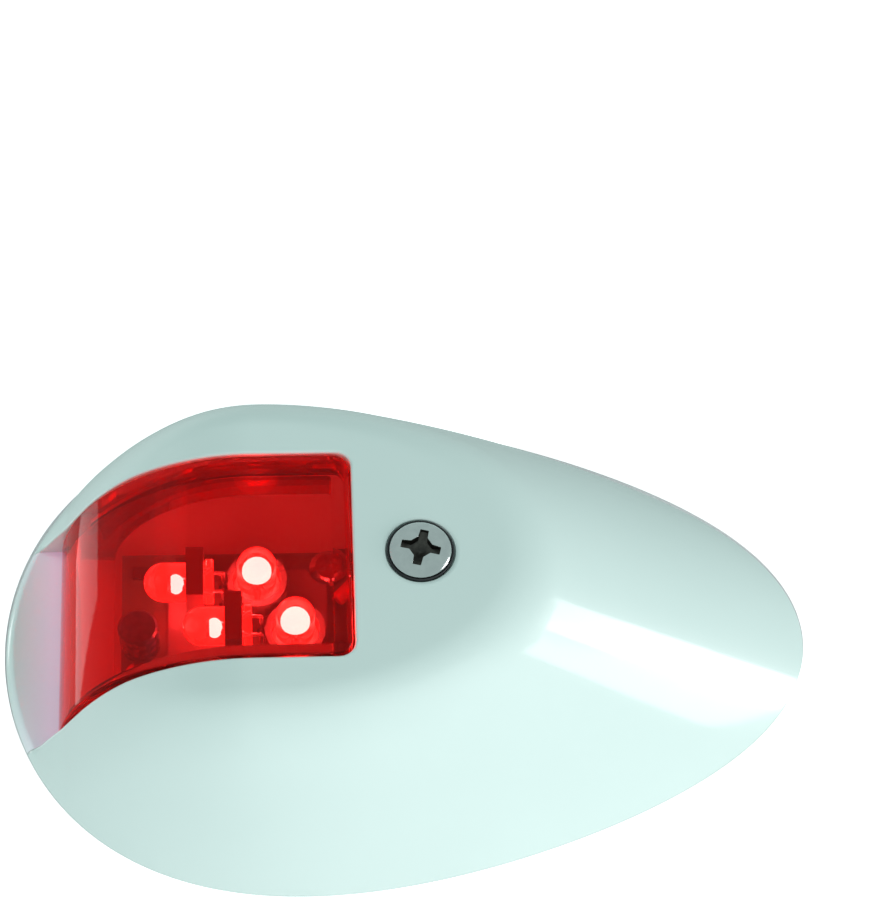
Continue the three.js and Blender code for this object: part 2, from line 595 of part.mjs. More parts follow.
// insulated lead from the board's aft edge, round the post and into the terminal block
function makeLead(side) {
  const y = terminalY(side);
  const start = new THREE.Vector3(BOARD.x1 - 2.2, side * 3.4 - 1.0, BOARD_TOP + 1.3);
  const route = new THREE.CatmullRomCurve3([
    start,
    new THREE.Vector3(-6.0, side * 5.6 - 0.5, BOARD_TOP + 1.6),
    new THREE.Vector3(SCREW_X, side * 8.2, BOARD_TOP + 0.6),
    new THREE.Vector3(10.0, side * 8.0, WIRE_Z + 1.0),
    new THREE.Vector3(17.0, side * 5.2, WIRE_Z + 0.6),
    new THREE.Vector3(BLOCK.x0 - 1.5, y, WIRE_Z),
    new THREE.Vector3(BLOCK_MIDDLE_X - 0.4, y, WIRE_Z),
  ]);
  const section = new THREE.Shape();
  section.absarc(0, 0, WIRE_RADIUS, 0, 2 * Math.PI);
  const geometry = new THREE.ExtrudeGeometry(section, { steps: 20, curveSegments: 4, extrudePath: route });
  return toSolid(geometry);
}

// ---- materials and assembly ---------------------------------------------------------------------

const material = (color, roughness, metalness = 0, extra = {}) =>
  new THREE.MeshStandardMaterial({ color, roughness, metalness, ...extra });

const MATERIALS = {
  white: material(0xe4f1ee, 0.25),
  lens: material(0xc8130c, 0.1, 0, { transparent: true, opacity: 0.6 }),
  steel: material(0xb9babc, 0.22, 1),
  brass: material(0xc9a24a, 0.35, 1),
  rubber: material(0x1c1c1e, 0.8),
  foam: material(0xd9d5d8, 0.9),
  plastic: material(0xd8dcdb, 0.5),
  black: material(0x18191b, 0.5),
  board: material(0x1d5a38, 0.45),
  led: material(0xf04438, 0.15, 0, { transparent: true, opacity: 0.8 }),
  sleeve: material(0x2b3f6b, 0.4, 0.2),
  red: material(0xb01c18, 0.45),
};

const group = new THREE.Group();

function add(name, solid, finish) {
  const mesh = new THREE.Mesh(toGeometry(solid), MATERIALS[finish]);
  mesh.name = name;
  group.add(mesh);
}

add('mounting_gasket', makeMountingGasket(), 'foam');
add('base_plate', makeBasePlate(), 'plastic');
add('cover_seal', makeCoverSeal(), 'rubber');
add('threaded_insert', makeInsert(), 'brass');
add('cable_grommet', makeGrommet(), 'rubber');
add('led_board', makeBoard(), 'board');
add('led_holder', makeLedHolder(), 'black');
UPRIGHT_LEDS.forEach((place, i) => add(`led_${i + 1}`, makeUprightLed(place), 'led'));
FORWARD_LEDS.forEach((place, i) => add(`led_${i + 3}`, makeForwardLed(place), 'led'));
BOARD_SCREWS.forEach((place, i) => add(`board_screw_${i + 1}`, makeBoardScrew(place), 'steel'));
RESISTORS.forEach((place, i) =>
  add(`resistor_${i + 1}`, component(place, RESISTOR_SIZE, BOARD_TOP), 'black'));
add('polarity_diode', component(DIODE.place, DIODE.size, BOARD_TOP), 'black');
add('driver_ic', component(DRIVER.place, DRIVER.size, BOARD_TOP), 'black');
add('filter_capacitor', makeCapacitor(), 'sleeve');
add('terminal_block', makeTerminalBlock(), 'plastic');
[-1, 1].forEach((side, i) => add(`terminal_clamp_${i + 1}`, makeClamp(side), 'brass'));
[-1, 1].forEach((side, i) => add(`pressure_plate_${i + 1}`, makePressurePlate(side), 'steel'));
[-1, 1].forEach((side, i) => add(`terminal_screw_${i + 1}`, makeTerminalScrew(side), 'steel'));
add('lead_negative', makeLead(-1), 'black');
add('lead_positive', makeLead(1), 'red');
add('cover', makeCover(), 'white');
add('lens', makeLens(), 'lens');
add('lens_gasket', makeLensGasket(), 'rubber');
add('screw_seal', makeScrewSeal(), 'rubber');
add('cover_screw', makeCoverScrew(), 'steel');

export default group;
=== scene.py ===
# Looks for the port side navigation light: a white shell cover with a red wrap-round lens over LEDs.
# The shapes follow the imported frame: -X is the bow, +Y the upper edge on the hull, z = 0 the mounting face.
# Lengths in the shape code are millimetres, turned into metres where a mesh is made.
import math

import bpy
import numpy as np
from mathutils import Matrix, Vector
from mathutils.geometry import delaunay_2d_cdt
from mathutils.kdtree import KDTree


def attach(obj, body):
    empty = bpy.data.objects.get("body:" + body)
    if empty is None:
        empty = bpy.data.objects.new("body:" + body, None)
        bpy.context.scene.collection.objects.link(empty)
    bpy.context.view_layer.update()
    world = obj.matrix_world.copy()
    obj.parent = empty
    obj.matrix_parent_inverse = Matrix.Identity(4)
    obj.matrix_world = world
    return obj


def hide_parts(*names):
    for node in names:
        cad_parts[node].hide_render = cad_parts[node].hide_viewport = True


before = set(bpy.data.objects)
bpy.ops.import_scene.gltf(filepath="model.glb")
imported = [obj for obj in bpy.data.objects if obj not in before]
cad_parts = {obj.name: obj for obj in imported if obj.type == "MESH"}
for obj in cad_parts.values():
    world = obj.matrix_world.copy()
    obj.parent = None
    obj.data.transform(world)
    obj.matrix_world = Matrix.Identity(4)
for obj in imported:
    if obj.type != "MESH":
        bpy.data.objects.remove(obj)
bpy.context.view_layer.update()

MM = 0.001

# ---- driving dimensions, the same ones that the solids have -------------------------------------

HALF_LENGTH, HALF_WIDTH = 52.5, 33.3
EGG = (-0.27, 0.062, 0.0415)
GASKET = 0.8
GASKET_SHIFT_Y, GASKET_PROUD = 0.8, 0.3
PLATEAU_HEIGHT, LIP_HEIGHT = 28.4, 1.0
WALL, WALL_BULGE, SHOULDER = 2.5, 0.5, 3.6
SHELF_HEIGHT = 2.4
PLATEAU_X, PLATEAU_TAIL, PLATEAU_BOW, PLATEAU_SIDE = -21.0, 35.7, 20.2, 22.0
BOW_X, BOW_A, BOW_B, BOW_POWER, BOW_FOOT, BOW_STRAIGHT = -20.1, 25.3, 26.65, 1.93, 1.75, 0.88
LENS_HALF, LENS_END, LENS_WALL, LENS_SKIRT, LENS_GAP = 13.95, -7.85, 2.2, 7.0, 0.25
LENS_FLANGE, FLANGE_FOOT, FLANGE_TOP_INSET, FLANGE_LOW_INSET = 2.2, 9.0, 3.45, 4.85
SCREW_X, HEAD_RADIUS, SHANK_RADIUS, HEAD_CONE, HEAD_DOME, TIP_Z = 0.8, 3.9, 2.05, 2.1, 1.1, 9.0
SEAL = 0.3
POST_TOP, BOSS_RADIUS = 16.2, 5.0
THREAD_PITCH, THREAD_DEPTH = 0.794, 0.42
BOARD_TOP = 8.6
LED_RADIUS, LED_LENGTH = 2.5, 8.7
UPRIGHT_LEDS, LED_SEAT_Z = ((-19.6, 4.0), (-14.8, -3.2)), 11.2
FORWARD_LEDS, FORWARD_LED_Z, FORWARD_LEAD_X = ((-33.8, 2.9), (-29.0, -3.4)), 15.4, 1.2
LEAD_HALF, LEAD_PITCH, BOARD_UNDER = 0.28, 2.54, 6.2
WIRE_RADIUS, WIRE_Z, BLOCK_X0, BLOCK_X, TERMINAL_Y = 0.95, 5.8, 23.0, 27.5, 4.0

COVER_TOP = GASKET + PLATEAU_HEIGHT
SHELF_Z = GASKET + SHELF_HEIGHT
SHELF_BACK_X = BOW_X - BOW_A + 1.2
OPENING_HALF = LENS_HALF + LENS_GAP
OPENING_END = LENS_END + LENS_GAP
CORNER = 2.0
EDGE = 0.4
GROOVE = 0.45
COVER_POINTS, GASKET_POINTS = 480, 240
SPAN = ((-HALF_LENGTH, -HALF_WIDTH), (HALF_LENGTH, HALF_WIDTH))
HOLE_RADIUS = SHANK_RADIUS + 0.3
SEAT_RADIUS = HEAD_RADIUS + SEAL + 0.15

# ---- cover surface ------------------------------------------------------------------------------


def outline(t, inset=0.0):
    """Point of the egg-shaped outline at parameter t, moved in by inset, and its outward normal."""
    c, s = np.cos(t), np.sin(t)
    swell = 1 + EGG[0] * c + EGG[1] * c**2 + EGG[2] * c**3
    rate = -s * (EGG[0] + 2 * EGG[1] * c + 3 * EGG[2] * c**2)
    dx, dy = -HALF_LENGTH * s, HALF_WIDTH * (c * swell + s * rate)
    length = np.hypot(dx, dy)
    nx, ny = dy / length, -dx / length
    return HALF_LENGTH * c - inset * nx, HALF_WIDTH * s * swell - inset * ny, nx, ny


def bow_height(x, inset):
    """Height of the bow profile above the gasket, a quarter superellipse with a straight foot."""
    a, b, k, p = BOW_A - inset, BOW_B - inset, BOW_STRAIGHT, BOW_POWER
    u = np.clip((BOW_X - x) / a, 0, None)
    rest = 1 - k**p
    curve = BOW_FOOT + b * (1 - np.minimum(u, k) ** p) ** (1 / p)
    slope = (b / a) * k ** (p - 1) * rest ** (1 / p - 1)
    return curve - slope * np.clip(u - k, 0, None) * a


def smooth_minimum(p, q, width):
    """The lesser of two heights, blended where they differ by less than width."""
    h = np.clip(width - np.abs(p - q), 0, None) / width
    return np.minimum(p, q) - h * h * width / 4


def mound(t, step, inset, flat=None):
    """Point of the cover surface: step 0 on the outline, 1 on the plateau's edge, 2 in its middle."""
    px, py, nx, ny = outline(t, inset)
    a = np.where(nx > 0, PLATEAU_TAIL, PLATEAU_BOW)
    d = np.hypot(a * nx, PLATEAU_SIDE * ny)
    qx = PLATEAU_X + a * a * nx / d - inset * nx
    qy = PLATEAU_SIDE**2 * ny / d - inset * ny
    run = (px - qx) * nx + (py - qy) * ny
    slope = (PLATEAU_HEIGHT - LIP_HEIGHT) / run
    s, over = np.minimum(step, 1), np.clip(step - 1, 0, None)
    bulge = WALL_BULGE * 6.75 * s * (1 - s) ** 2
    x = px + (qx - px) * s + bulge * nx
    y = py + (qy - py) * s + bulge * ny
    reach = (qx - PLATEAU_X) * nx + qy * ny
    x, y = x + (PLATEAU_X - x) * over, y * (1 - over)
    wall = LIP_HEIGHT + (PLATEAU_HEIGHT - LIP_HEIGHT - inset) * s + slope * over * reach
    sheet = np.maximum(bow_height(x, inset), SHELF_HEIGHT + 0.2) if flat is None else flat
    width = np.minimum(SHOULDER * slope, 0.9 * sheet)
    return np.stack([x, y, GASKET + smooth_minimum(wall, sheet, width)], -1)


def plan_tree(points):
    """Search tree over points in plan."""
    tree = KDTree(len(points))
    for i, p in enumerate(points):
        tree.insert((p[0], p[1], 0), i)
    tree.balance()
    return tree


def cover_surface(points, inset, flat=None):
    """Heights and unit normals of the cover surface over plan points, by Newton's method."""
    around, steps, last_step = 360, 40, 1.95
    t = np.repeat(np.linspace(0, 2 * np.pi, around + 1)[:-1], steps)
    s = np.tile(np.linspace(0, 1.9, steps), around)
    tree = plan_tree(mound(t, s, inset, flat))
    nearest = np.array([tree.find((p[0], p[1], 0))[1] for p in points])
    t, s = t[nearest], s[nearest]
    h = 1e-5
    for _ in range(12):
        here = mound(t, s, inset, flat)
        dt = (mound(t + h, s, inset, flat) - here) / h
        ds = (mound(t, s + h, inset, flat) - here) / h
        miss = points - here[:, :2]
        det = dt[:, 0] * ds[:, 1] - dt[:, 1] * ds[:, 0]
        det = np.where(np.abs(det) < 1e-6, 1e-6, det)
        t = t + np.clip((miss[:, 0] * ds[:, 1] - miss[:, 1] * ds[:, 0]) / det, -0.1, 0.1)
        s = s + np.clip((dt[:, 0] * miss[:, 1] - dt[:, 1] * miss[:, 0]) / det, -0.1, 0.1)
        s = np.clip(s, 0, last_step)
    z = mound(t, s, inset, flat)[:, 2]
    up, down = np.minimum(s + 1e-4, last_step), np.maximum(s - 1e-4, 0)
    along = mound(t + 1e-4, s, inset, flat) - mound(t - 1e-4, s, inset, flat)
    inward = mound(t, up, inset, flat) - mound(t, down, inset, flat)
    normal = np.cross(along, inward)
    normal *= np.sign(normal[:, 2:3] + 1e-12)
    return z, unit(normal)


def unit(v):
    """Vectors scaled to length one."""
    return v / np.maximum(np.linalg.norm(v, axis=-1, keepdims=True), 1e-12)


# ---- layered shells: a plan of triangles, each with a top and a bottom surface ------------------


def ring(points, closed):
    """Edges that join a run of points."""
    n = len(points)
    return [(i, (i + 1) % n) for i in range(n if closed else n - 1)]


def circle(x, y, radius, count):
    """Closed run of points on a circle."""
    a = np.linspace(0, 2 * np.pi, count, endpoint=False)
    return np.stack([x + radius * np.cos(a), y + radius * np.sin(a)], -1)


def tongue(x_start, x_end, half, corner, spacing):
    """Open run of points round a tongue from x_start aft to x_end, with rounded aft corners."""
    corner = min(corner, half)
    straight = np.arange(x_start, x_end - corner, spacing)
    bend = np.linspace(-np.pi / 2, 0, 7)
    low = [(x, -half) for x in straight]
    low += [(x_end - corner + corner * math.cos(a), -half + corner + corner * math.sin(a)) for a in bend]
    across = np.linspace(-half + corner, 0, max(2, int((half - corner) / spacing)))[1:-1]
    low += [(x_end, y) for y in across] + [(x_end, 0.0)]
    high = [(x, -y) for x, y in low[-2::-1]]
    return np.array(low + high)


def tongue_distance(p, x_end, half, corner):
    """Signed distance to the tongue's edge, negative inside."""
    qx = p[:, 0] - (x_end - corner)
    qy = np.abs(p[:, 1]) - (half - corner)
    outside = np.hypot(np.clip(qx, 0, None), np.clip(qy, 0, None))
    return outside + np.minimum(np.maximum(qx, qy), 0) - corner


def inside(points, loop):
    """True for plan points inside a closed loop."""
    x, y = points[:, 0:1], points[:, 1:2]
    x0, y0 = loop[:, 0], loop[:, 1]
    x1, y1 = np.roll(x0, -1), np.roll(y0, -1)
    crosses = (y0 > y) != (y1 > y)
    at = x0 + (y - y0) * (x1 - x0) / np.where(y1 == y0, 1e-12, y1 - y0)
    return (np.sum(crosses & (x < at), axis=1) % 2) == 1


def plan(curves, loose, span, spacing, clear):
    """Triangles over a plan: curves are (points, closed) and a staggered grid fills what is between."""
    tree = plan_tree(np.concatenate([c for c, _ in curves]))
    (x0, y0), (x1, y1) = span
    grid = []
    for row, y in enumerate(np.arange(y0, y1, spacing * 0.866)):
        for x in np.arange(x0 + (row % 2) * spacing / 2, x1, spacing):
            if tree.find((x, y, 0))[2] > clear:
                grid.append((x, y))
    points, edges = [], []
    for c, closed in curves:
        edges += [(a + len(points), b + len(points)) for a, b in ring(c, closed)]
        points += [tuple(p) for p in c]
    points += [tuple(p) for p in loose] + grid
    made = delaunay_2d_cdt([Vector(p) for p in points], edges, [], 0, 1e-5)
    return np.array([tuple(v) for v in made[0]]), [tuple(f) for f in made[2]]


def shell(name, points, triangles, layers, levels, place):
    """Closed mesh over a plan. layers gives each triangle's (bottom, top) level names or None, levels
    gives each level's heights and normals at the plan points, and place turns them into the frame."""
    vertices, index, faces, normals = [], {}, [], []

    def vertex(i, level):
        key = (i, level)
        if key not in index:
            index[key] = len(vertices)
            vertices.append((points[i][0], points[i][1], levels[level][0][i]))
        return index[key]

    def total(level, a, b):
        return levels[level][0][a] + levels[level][0][b]

    sides = {}
    for face, layer in zip(triangles, layers):
        a, b, c = (points[i] for i in face)
        if (b[0] - a[0]) * (c[1] - a[1]) - (b[1] - a[1]) * (c[0] - a[0]) < 0:
            face = face[::-1]
        if layer:
            bottom, top = layer
            faces.append([vertex(i, top) for i in face])
            normals.append([levels[top][1][i] for i in face])
            faces.append([vertex(i, bottom) for i in face[::-1]])
            normals.append([-levels[bottom][1][i] for i in face[::-1]])
        for i in range(3):
            edge = (face[i], face[(i + 1) % 3])
            sides[edge] = layer
    walls, around = [], {}
    for (a, b), layer in sides.items():
        if not layer:
            continue
        other = sides.get((b, a))
        bottom, top = layer
        stretches = []
        if not other:
            stretches.append((bottom, top))
        else:
            if other[1] != top and total(top, a, b) > total(other[1], a, b):
                stretches.append((other[1], top))
            if other[0] != bottom and total(bottom, a, b) < total(other[0], a, b):
                stretches.append((bottom, other[0]))
        side = points[b] - points[a]
        out = unit(np.array([side[1], -side[0], 0.0]))
        for low, high in stretches:
            walls.append((a, b, low, high, out))
            for i in (a, b):
                around.setdefault((i, low, high), []).append(out)
    for a, b, low, high, out in walls:
        corner = [vertex(a, low), vertex(b, low), vertex(b, high), vertex(a, high)]
        smooth = []
        for i in (a, b, b, a):
            near = [n for n in around[(i, low, high)] if n @ out > 0.8]
            smooth.append(unit(np.sum(near, axis=0)))
        faces.append(corner)
        normals.append(smooth)
    local = np.array(vertices)
    world, turn = place(local)
    mesh = bpy.data.meshes.new(name)
    mesh.from_pydata([tuple(p) for p in world * MM], [], faces)
    flat_index = [v for f in faces for v in f]
    flat_normal = np.array([n for f in normals for n in f])
    flat_normal = unit(np.einsum("ijk,ij->ik", turn[flat_index], flat_normal))
    return finished(name, mesh, flat_normal)


def finished(name, mesh, normals=None):
    """Object from a mesh, smooth shaded, with its corner normals where they are given."""
    obj = bpy.data.objects.new(name, mesh)
    bpy.context.scene.collection.objects.link(obj)
    mesh.polygons.foreach_set("use_smooth", [True] * len(mesh.polygons))
    if normals is not None:
        mesh.normals_split_custom_set([tuple(n) for n in normals])
    mesh.update()
    return obj


def solid(name, vertices, faces, sharp):
    """Closed body from points in millimetres, smooth but for edges sharper than an angle in degrees."""
    mesh = bpy.data.meshes.new(name)
    mesh.from_pydata([Vector(v) * MM for v in vertices], [], faces)
    obj = finished(name, mesh)
    mesh.set_sharp_from_angle(angle=math.radians(sharp))
    return obj


def upright(local):
    """Plan and height are already the frame's x, y and z."""
    return local, np.tile(np.eye(3), (len(local), 1, 1))


def rounded(distance, radius):
    """Drop of a rounded edge and how far its normal leans out, at a distance from the edge."""
    lean = np.clip(1 - distance / radius, 0, 1)
    return radius * (1 - np.sqrt(np.clip(1 - lean**2, 0, 1))), lean


def leaned(normal, toward, lean):
    """Normal tipped towards a plan direction."""
    side = np.concatenate([toward, np.zeros((len(toward), 1))], axis=1)
    return unit(normal * np.sqrt(np.clip(1 - lean**2, 0, 1))[:, None] + side * lean[:, None])


def gradient(distance, points, *args):
    """Unit plan directions in which a signed distance grows."""
    h = 1e-4
    dx = distance(points + [h, 0], *args) - distance(points - [h, 0], *args)
    dy = distance(points + [0, h], *args) - distance(points - [0, h], *args)
    return unit(np.stack([dx, dy], -1))


def constant(points, z):
    """Level surface over plan points."""
    return np.full(len(points), z), np.tile([0.0, 0.0, 1.0], (len(points), 1))


# ---- cover --------------------------------------------------------------------------------------


def egg(inset, count):
    """Closed run of points on the outline moved in by inset."""
    return np.stack(outline(np.linspace(0, 2 * np.pi, count + 1)[:-1], inset)[:2], -1)


def make_cover():
    """White shell with its window, notch, shelf, screw boss and countersink."""
    rim, groove, inner = (egg(inset, COVER_POINTS) for inset in (0.0, GROOVE, WALL))
    curves = [(rim, True), (groove, True), (inner, True)]
    for offset in (0.0, 0.1, 0.22, EDGE):
        half, end = OPENING_HALF + offset, OPENING_END + offset
        curves.append((tongue(-HALF_LENGTH - 2, end, half, CORNER + offset, 1.0), False))
    step = np.arange(-27.0, 27.01, 1.0)
    curves.append((np.stack([np.full(len(step), SHELF_BACK_X), step], -1), False))
    for radius, count in ((HOLE_RADIUS, 40), (SEAT_RADIUS, 56), (SEAT_RADIUS + 0.12, 56), (BOSS_RADIUS, 56)):
        curves.append((circle(SCREW_X, 0, radius, count), True))
    loose = []
    for inset in (0.2, 0.8, 1.2, 1.7, 2.2, 2.9):
        loose += list(egg(inset, COVER_POINTS))
    points, triangles = plan(curves, loose, SPAN, 1.1, 0.5)

    outer, outer_normal = cover_surface(points, 0.0)
    low, low_normal = cover_surface(points, WALL)
    shape = (OPENING_END, OPENING_HALF, CORNER)
    distance = np.maximum(tongue_distance(points, *shape), 0)
    from_screw = points - [SCREW_X, 0]
    radius = np.hypot(*from_screw.T)
    shelf, shelf_normal = cover_surface(points, 0.0, SHELF_HEIGHT)

    drop, lean = rounded(distance, EDGE)
    outer_normal = leaned(outer_normal, -gradient(tongue_distance, points, *shape), lean)
    seat_drop, seat_lean = rounded(np.maximum(radius - SEAT_RADIUS, 0), 0.25)
    near = radius < BOSS_RADIUS + 0.5
    outer_normal[near] = leaned(outer_normal[near], -unit(from_screw[near]), seat_lean[near])
    outer = np.maximum(outer - drop - np.where(near, seat_drop, 0), shelf)

    cone_rate = (HEAD_CONE + SEAL - 0.35) / (SEAT_RADIUS - HOLE_RADIUS)
    cone = COVER_TOP - HEAD_CONE - SEAL + (radius - HOLE_RADIUS) * cone_rate
    cone_normal = unit(np.column_stack([-from_screw, radius]) + 1e-9)
    # The rim's underside is cut up over the groove, so that a shadow line shows above the gasket.
    foot, level = constant(points, GASKET)
    foot = foot + np.where(inside(points, egg(GROOVE - 0.02, COVER_POINTS)), 0, GROOVE)
    levels = {
        "outer": (outer, outer_normal), "inner": (low, low_normal), "shelf": (shelf, shelf_normal),
        "seat": (cone, cone_normal), "rim": (foot, level), "boss": constant(points, POST_TOP + 0.3),
    }
    middle = np.mean(points[np.array(triangles)], axis=1)
    in_rim, in_cavity = inside(middle, rim), inside(middle, inner) & (middle[:, 0] > SHELF_BACK_X)
    in_opening = tongue_distance(middle, *shape) < 0
    from_hole = np.hypot(middle[:, 0] - SCREW_X, middle[:, 1])
    layers = []
    for m, r, cavity, opening, hole in zip(middle, in_rim, in_cavity, in_opening, from_hole):
        ahead = m[0] < SHELF_BACK_X
        if not r or hole < HOLE_RADIUS * 0.999 or (opening and not ahead):
            layers.append(None)
            continue
        bottom = "boss" if hole < BOSS_RADIUS else "inner" if cavity else "rim"
        top = "seat" if hole < SEAT_RADIUS else "shelf" if opening else "outer"
        layers.append((bottom, top))
    return shell("cover_shell", points, triangles, layers, levels, upright)


# ---- lens ---------------------------------------------------------------------------------------


def bow_track():
    """The lens's outer profile by distance along it: x, z and the outward normal at each place."""
    foot = SHELF_Z + 0.4 - GASKET - BOW_FOOT
    start = math.asin((foot / BOW_B) ** (BOW_POWER / 2))
    a = np.linspace(start, np.pi / 2, 400)
    x = BOW_X - BOW_A * np.cos(a) ** (2 / BOW_POWER)
    z = GASKET + BOW_FOOT + BOW_B * np.sin(a) ** (2 / BOW_POWER)
    x, z = np.append(x, np.linspace(BOW_X, LENS_END, 40)[1:]), np.append(z, np.full(39, z[-1]))
    u = np.concatenate([[0], np.cumsum(np.hypot(np.diff(x), np.diff(z)))])
    tx, tz = np.gradient(x, u), np.gradient(z, u)
    length = np.hypot(tx, tz)
    return u, x, z, -tz / length, tx / length


def on_track(track):
    """Places lens plan coordinates, along, across and out, on the bow profile."""
    u, x, z, nx, nz = track

    def place(local):
        at = [np.interp(local[:, 0], u, k) for k in (x, z, nx, nz)]
        length = np.hypot(at[2], at[3])
        nx1, nz1 = at[2] / length, at[3] / length
        world = np.stack([at[0] + nx1 * local[:, 2], local[:, 1], at[1] + nz1 * local[:, 2]], -1)
        turn = np.zeros((len(local), 3, 3))
        turn[:, 0] = np.stack([nz1, np.zeros_like(nx1), -nx1], -1)
        turn[:, 1] = [0, 1, 0]
        turn[:, 2] = np.stack([nx1, np.zeros_like(nx1), nz1], -1)
        return world, turn

    return place


def block_distance(p, x0, x1, half, front_corner, corner):
    """Signed distance to a rectangle with rounded corners, smaller ones at its front."""
    r = np.where(p[:, 0] < (x0 + x1) / 2, front_corner, corner)
    qx = np.abs(p[:, 0] - (x0 + x1) / 2) - (x1 - x0) / 2 + r
    qy = np.abs(p[:, 1]) - half + r
    return np.hypot(np.clip(qx, 0, None), np.clip(qy, 0, None)) + np.minimum(np.maximum(qx, qy), 0) - r


def block_loop(x0, x1, half, front_corner, corner, spacing):
    """Closed run of points round that rectangle."""
    out = []
    corners = [(x1, -half, corner, -90), (x1, half, corner, 0)]
    corners += [(x0, half, front_corner, 90), (x0, -half, front_corner, 180)]
    for cx, cy, r, turn in corners:
        mx, my = cx - math.copysign(r, cx - (x0 + x1) / 2), cy - math.copysign(r, cy)
        for a in np.radians(np.linspace(turn, turn + 90, 7)):
            out.append((mx + r * math.cos(a), my + r * math.sin(a)))
    full = []
    for (ax, ay), (bx, by) in zip(out, out[1:] + out[:1]):
        n = max(1, int(math.hypot(bx - ax, by - ay) / spacing))
        full += [(ax + (bx - ax) * i / n, ay + (by - ay) * i / n) for i in range(n)]
    return np.array(full)


def make_lens():
    """Clear red tray bent along the bow profile, with a skirt inside the light."""
    track = bow_track()
    end = track[0][-1]
    outside = (0.0, end, LENS_HALF, 0.8, CORNER)
    room = (LENS_WALL, end - LENS_WALL, LENS_HALF - LENS_WALL, 0.4, 0.5)
    curves = [(block_loop(*outside, 0.9), True), (block_loop(*room, 1.0), True)]
    for d in (0.08, 0.2, 0.36, 0.55):
        curves.append((block_loop(d, end - d, LENS_HALF - d, max(0.8 - d, 0.15), CORNER - d, 0.9), True))
    points, triangles = plan(curves, [], ((0, -LENS_HALF), (end, LENS_HALF)), 1.1, 0.5)
    distance = np.maximum(-block_distance(points, *outside), 0)
    drop, lean = rounded(distance, 0.55)
    flat = np.tile([0.0, 0.0, 1.0], (len(points), 1))
    skin_normal = leaned(flat, gradient(block_distance, points, *outside), lean)
    levels = {
        "skin": (-drop, skin_normal),
        "ceiling": constant(points, -LENS_WALL), "skirt": constant(points, -LENS_SKIRT),
    }
    middle = np.mean(points[np.array(triangles)], axis=1)
    in_all, in_room = block_distance(middle, *outside) < 0, block_distance(middle, *room) < 0
    layers = [("ceiling" if b else "skirt", "skin") if a else None for a, b in zip(in_all, in_room)]
    return shell("lens_shell", points, triangles, layers, levels, on_track(track))


def make_flange():
    """Frame round three sides of the lens that lies under the cover."""
    reach = (LENS_END + LENS_FLANGE, LENS_HALF + LENS_FLANGE, CORNER)
    opening = (LENS_END - 0.6, LENS_HALF - 0.6, CORNER)
    start = -43.0
    curves = [(tongue(start, *shape, 1.2), False) for shape in (reach, opening)]
    span = ((start, -LENS_HALF - 2), (LENS_END + 2, LENS_HALF + 2))
    points, triangles = plan(curves, [], span, 1.4, 0.5)
    levels = {"high": cover_surface(points, FLANGE_TOP_INSET), "low": cover_surface(points, FLANGE_LOW_INSET)}
    middle = np.mean(points[np.array(triangles)], axis=1)
    height = np.mean(levels["low"][0][np.array(triangles)], axis=1)
    in_frame = (tongue_distance(middle, *reach) < 0) & (tongue_distance(middle, *opening) > 0)
    layers = [("low", "high") if x else None for x in in_frame & (height > FLANGE_FOOT)]
    return shell("lens_flange", points, triangles, layers, levels, upright)


# ---- turned and swept pieces --------------------------------------------------------------------


def turned(name, profile, segments, matrix=Matrix()):
    """Closed body of revolution about Z from (radius, z) points that start and end on the axis."""
    angles = np.linspace(0, 2 * np.pi, segments, endpoint=False)
    vertices, faces = [(0, 0, profile[0][1])], []
    for radius, z in profile[1:-1]:
        vertices += [(radius * math.cos(a), radius * math.sin(a), z) for a in angles]
    vertices.append((0, 0, profile[-1][1]))
    last = len(vertices) - 1
    rows = len(profile) - 2
    for i in range(segments):
        j = (i + 1) % segments
        faces.append((0, 1 + j, 1 + i))
        for r in range(rows - 1):
            a, b = 1 + r * segments + i, 1 + r * segments + j
            faces.append((a, b, b + segments, a + segments))
        faces.append((last, last - segments + i, last - segments + j))
    return solid(name, [matrix @ Vector(v) for v in vertices], faces, 40)


def joined(name, *parts):
    """One object from several, each a closed body."""
    with bpy.context.temp_override(active_object=parts[0], selected_editable_objects=list(parts)):
        bpy.ops.object.join()
    parts[0].name = parts[0].data.name = name
    return parts[0]


def sphere_end(radius, centre, count=10):
    """Profile points of a dome from its equator to its pole."""
    a = np.linspace(0, np.pi / 2, count)
    return [(radius * math.cos(k), centre + radius * math.sin(k)) for k in a[:-1]] + [(0, centre + radius)]


def swept(name, centres, radius, sides=16):
    """Round tube with domed ends along a run of centres."""
    centres = np.array(centres)
    ahead = unit(np.gradient(centres, axis=0))
    side = unit(np.cross(ahead, [0.0, 0.0, 1.0]) + 1e-9)
    up = np.cross(side, ahead)
    angles = np.linspace(0, 2 * np.pi, sides, endpoint=False)
    last = len(centres) - 1
    rings = [(0, 0.55, -0.25), (0, 0.85, -0.15)] + [(i, 1.0, 0.0) for i in range(last + 1)]
    rings += [(last, 0.85, 0.15), (last, 0.55, 0.25)]
    vertices = []
    for i, share, push in rings:
        middle, reach = centres[i] + ahead[i] * push * radius, radius * share
        vertices += [middle + reach * (side[i] * math.cos(a) + up[i] * math.sin(a)) for a in angles]
    faces = []
    for r in range(len(rings) - 1):
        for i in range(sides):
            a, b = r * sides + i, r * sides + (i + 1) % sides
            faces.append((a, a + sides, b + sides, b))
    faces.append(tuple(range(sides)))
    faces.append(tuple(range(len(vertices) - 1, len(vertices) - sides - 1, -1)))
    return solid(name, vertices, faces, 50)


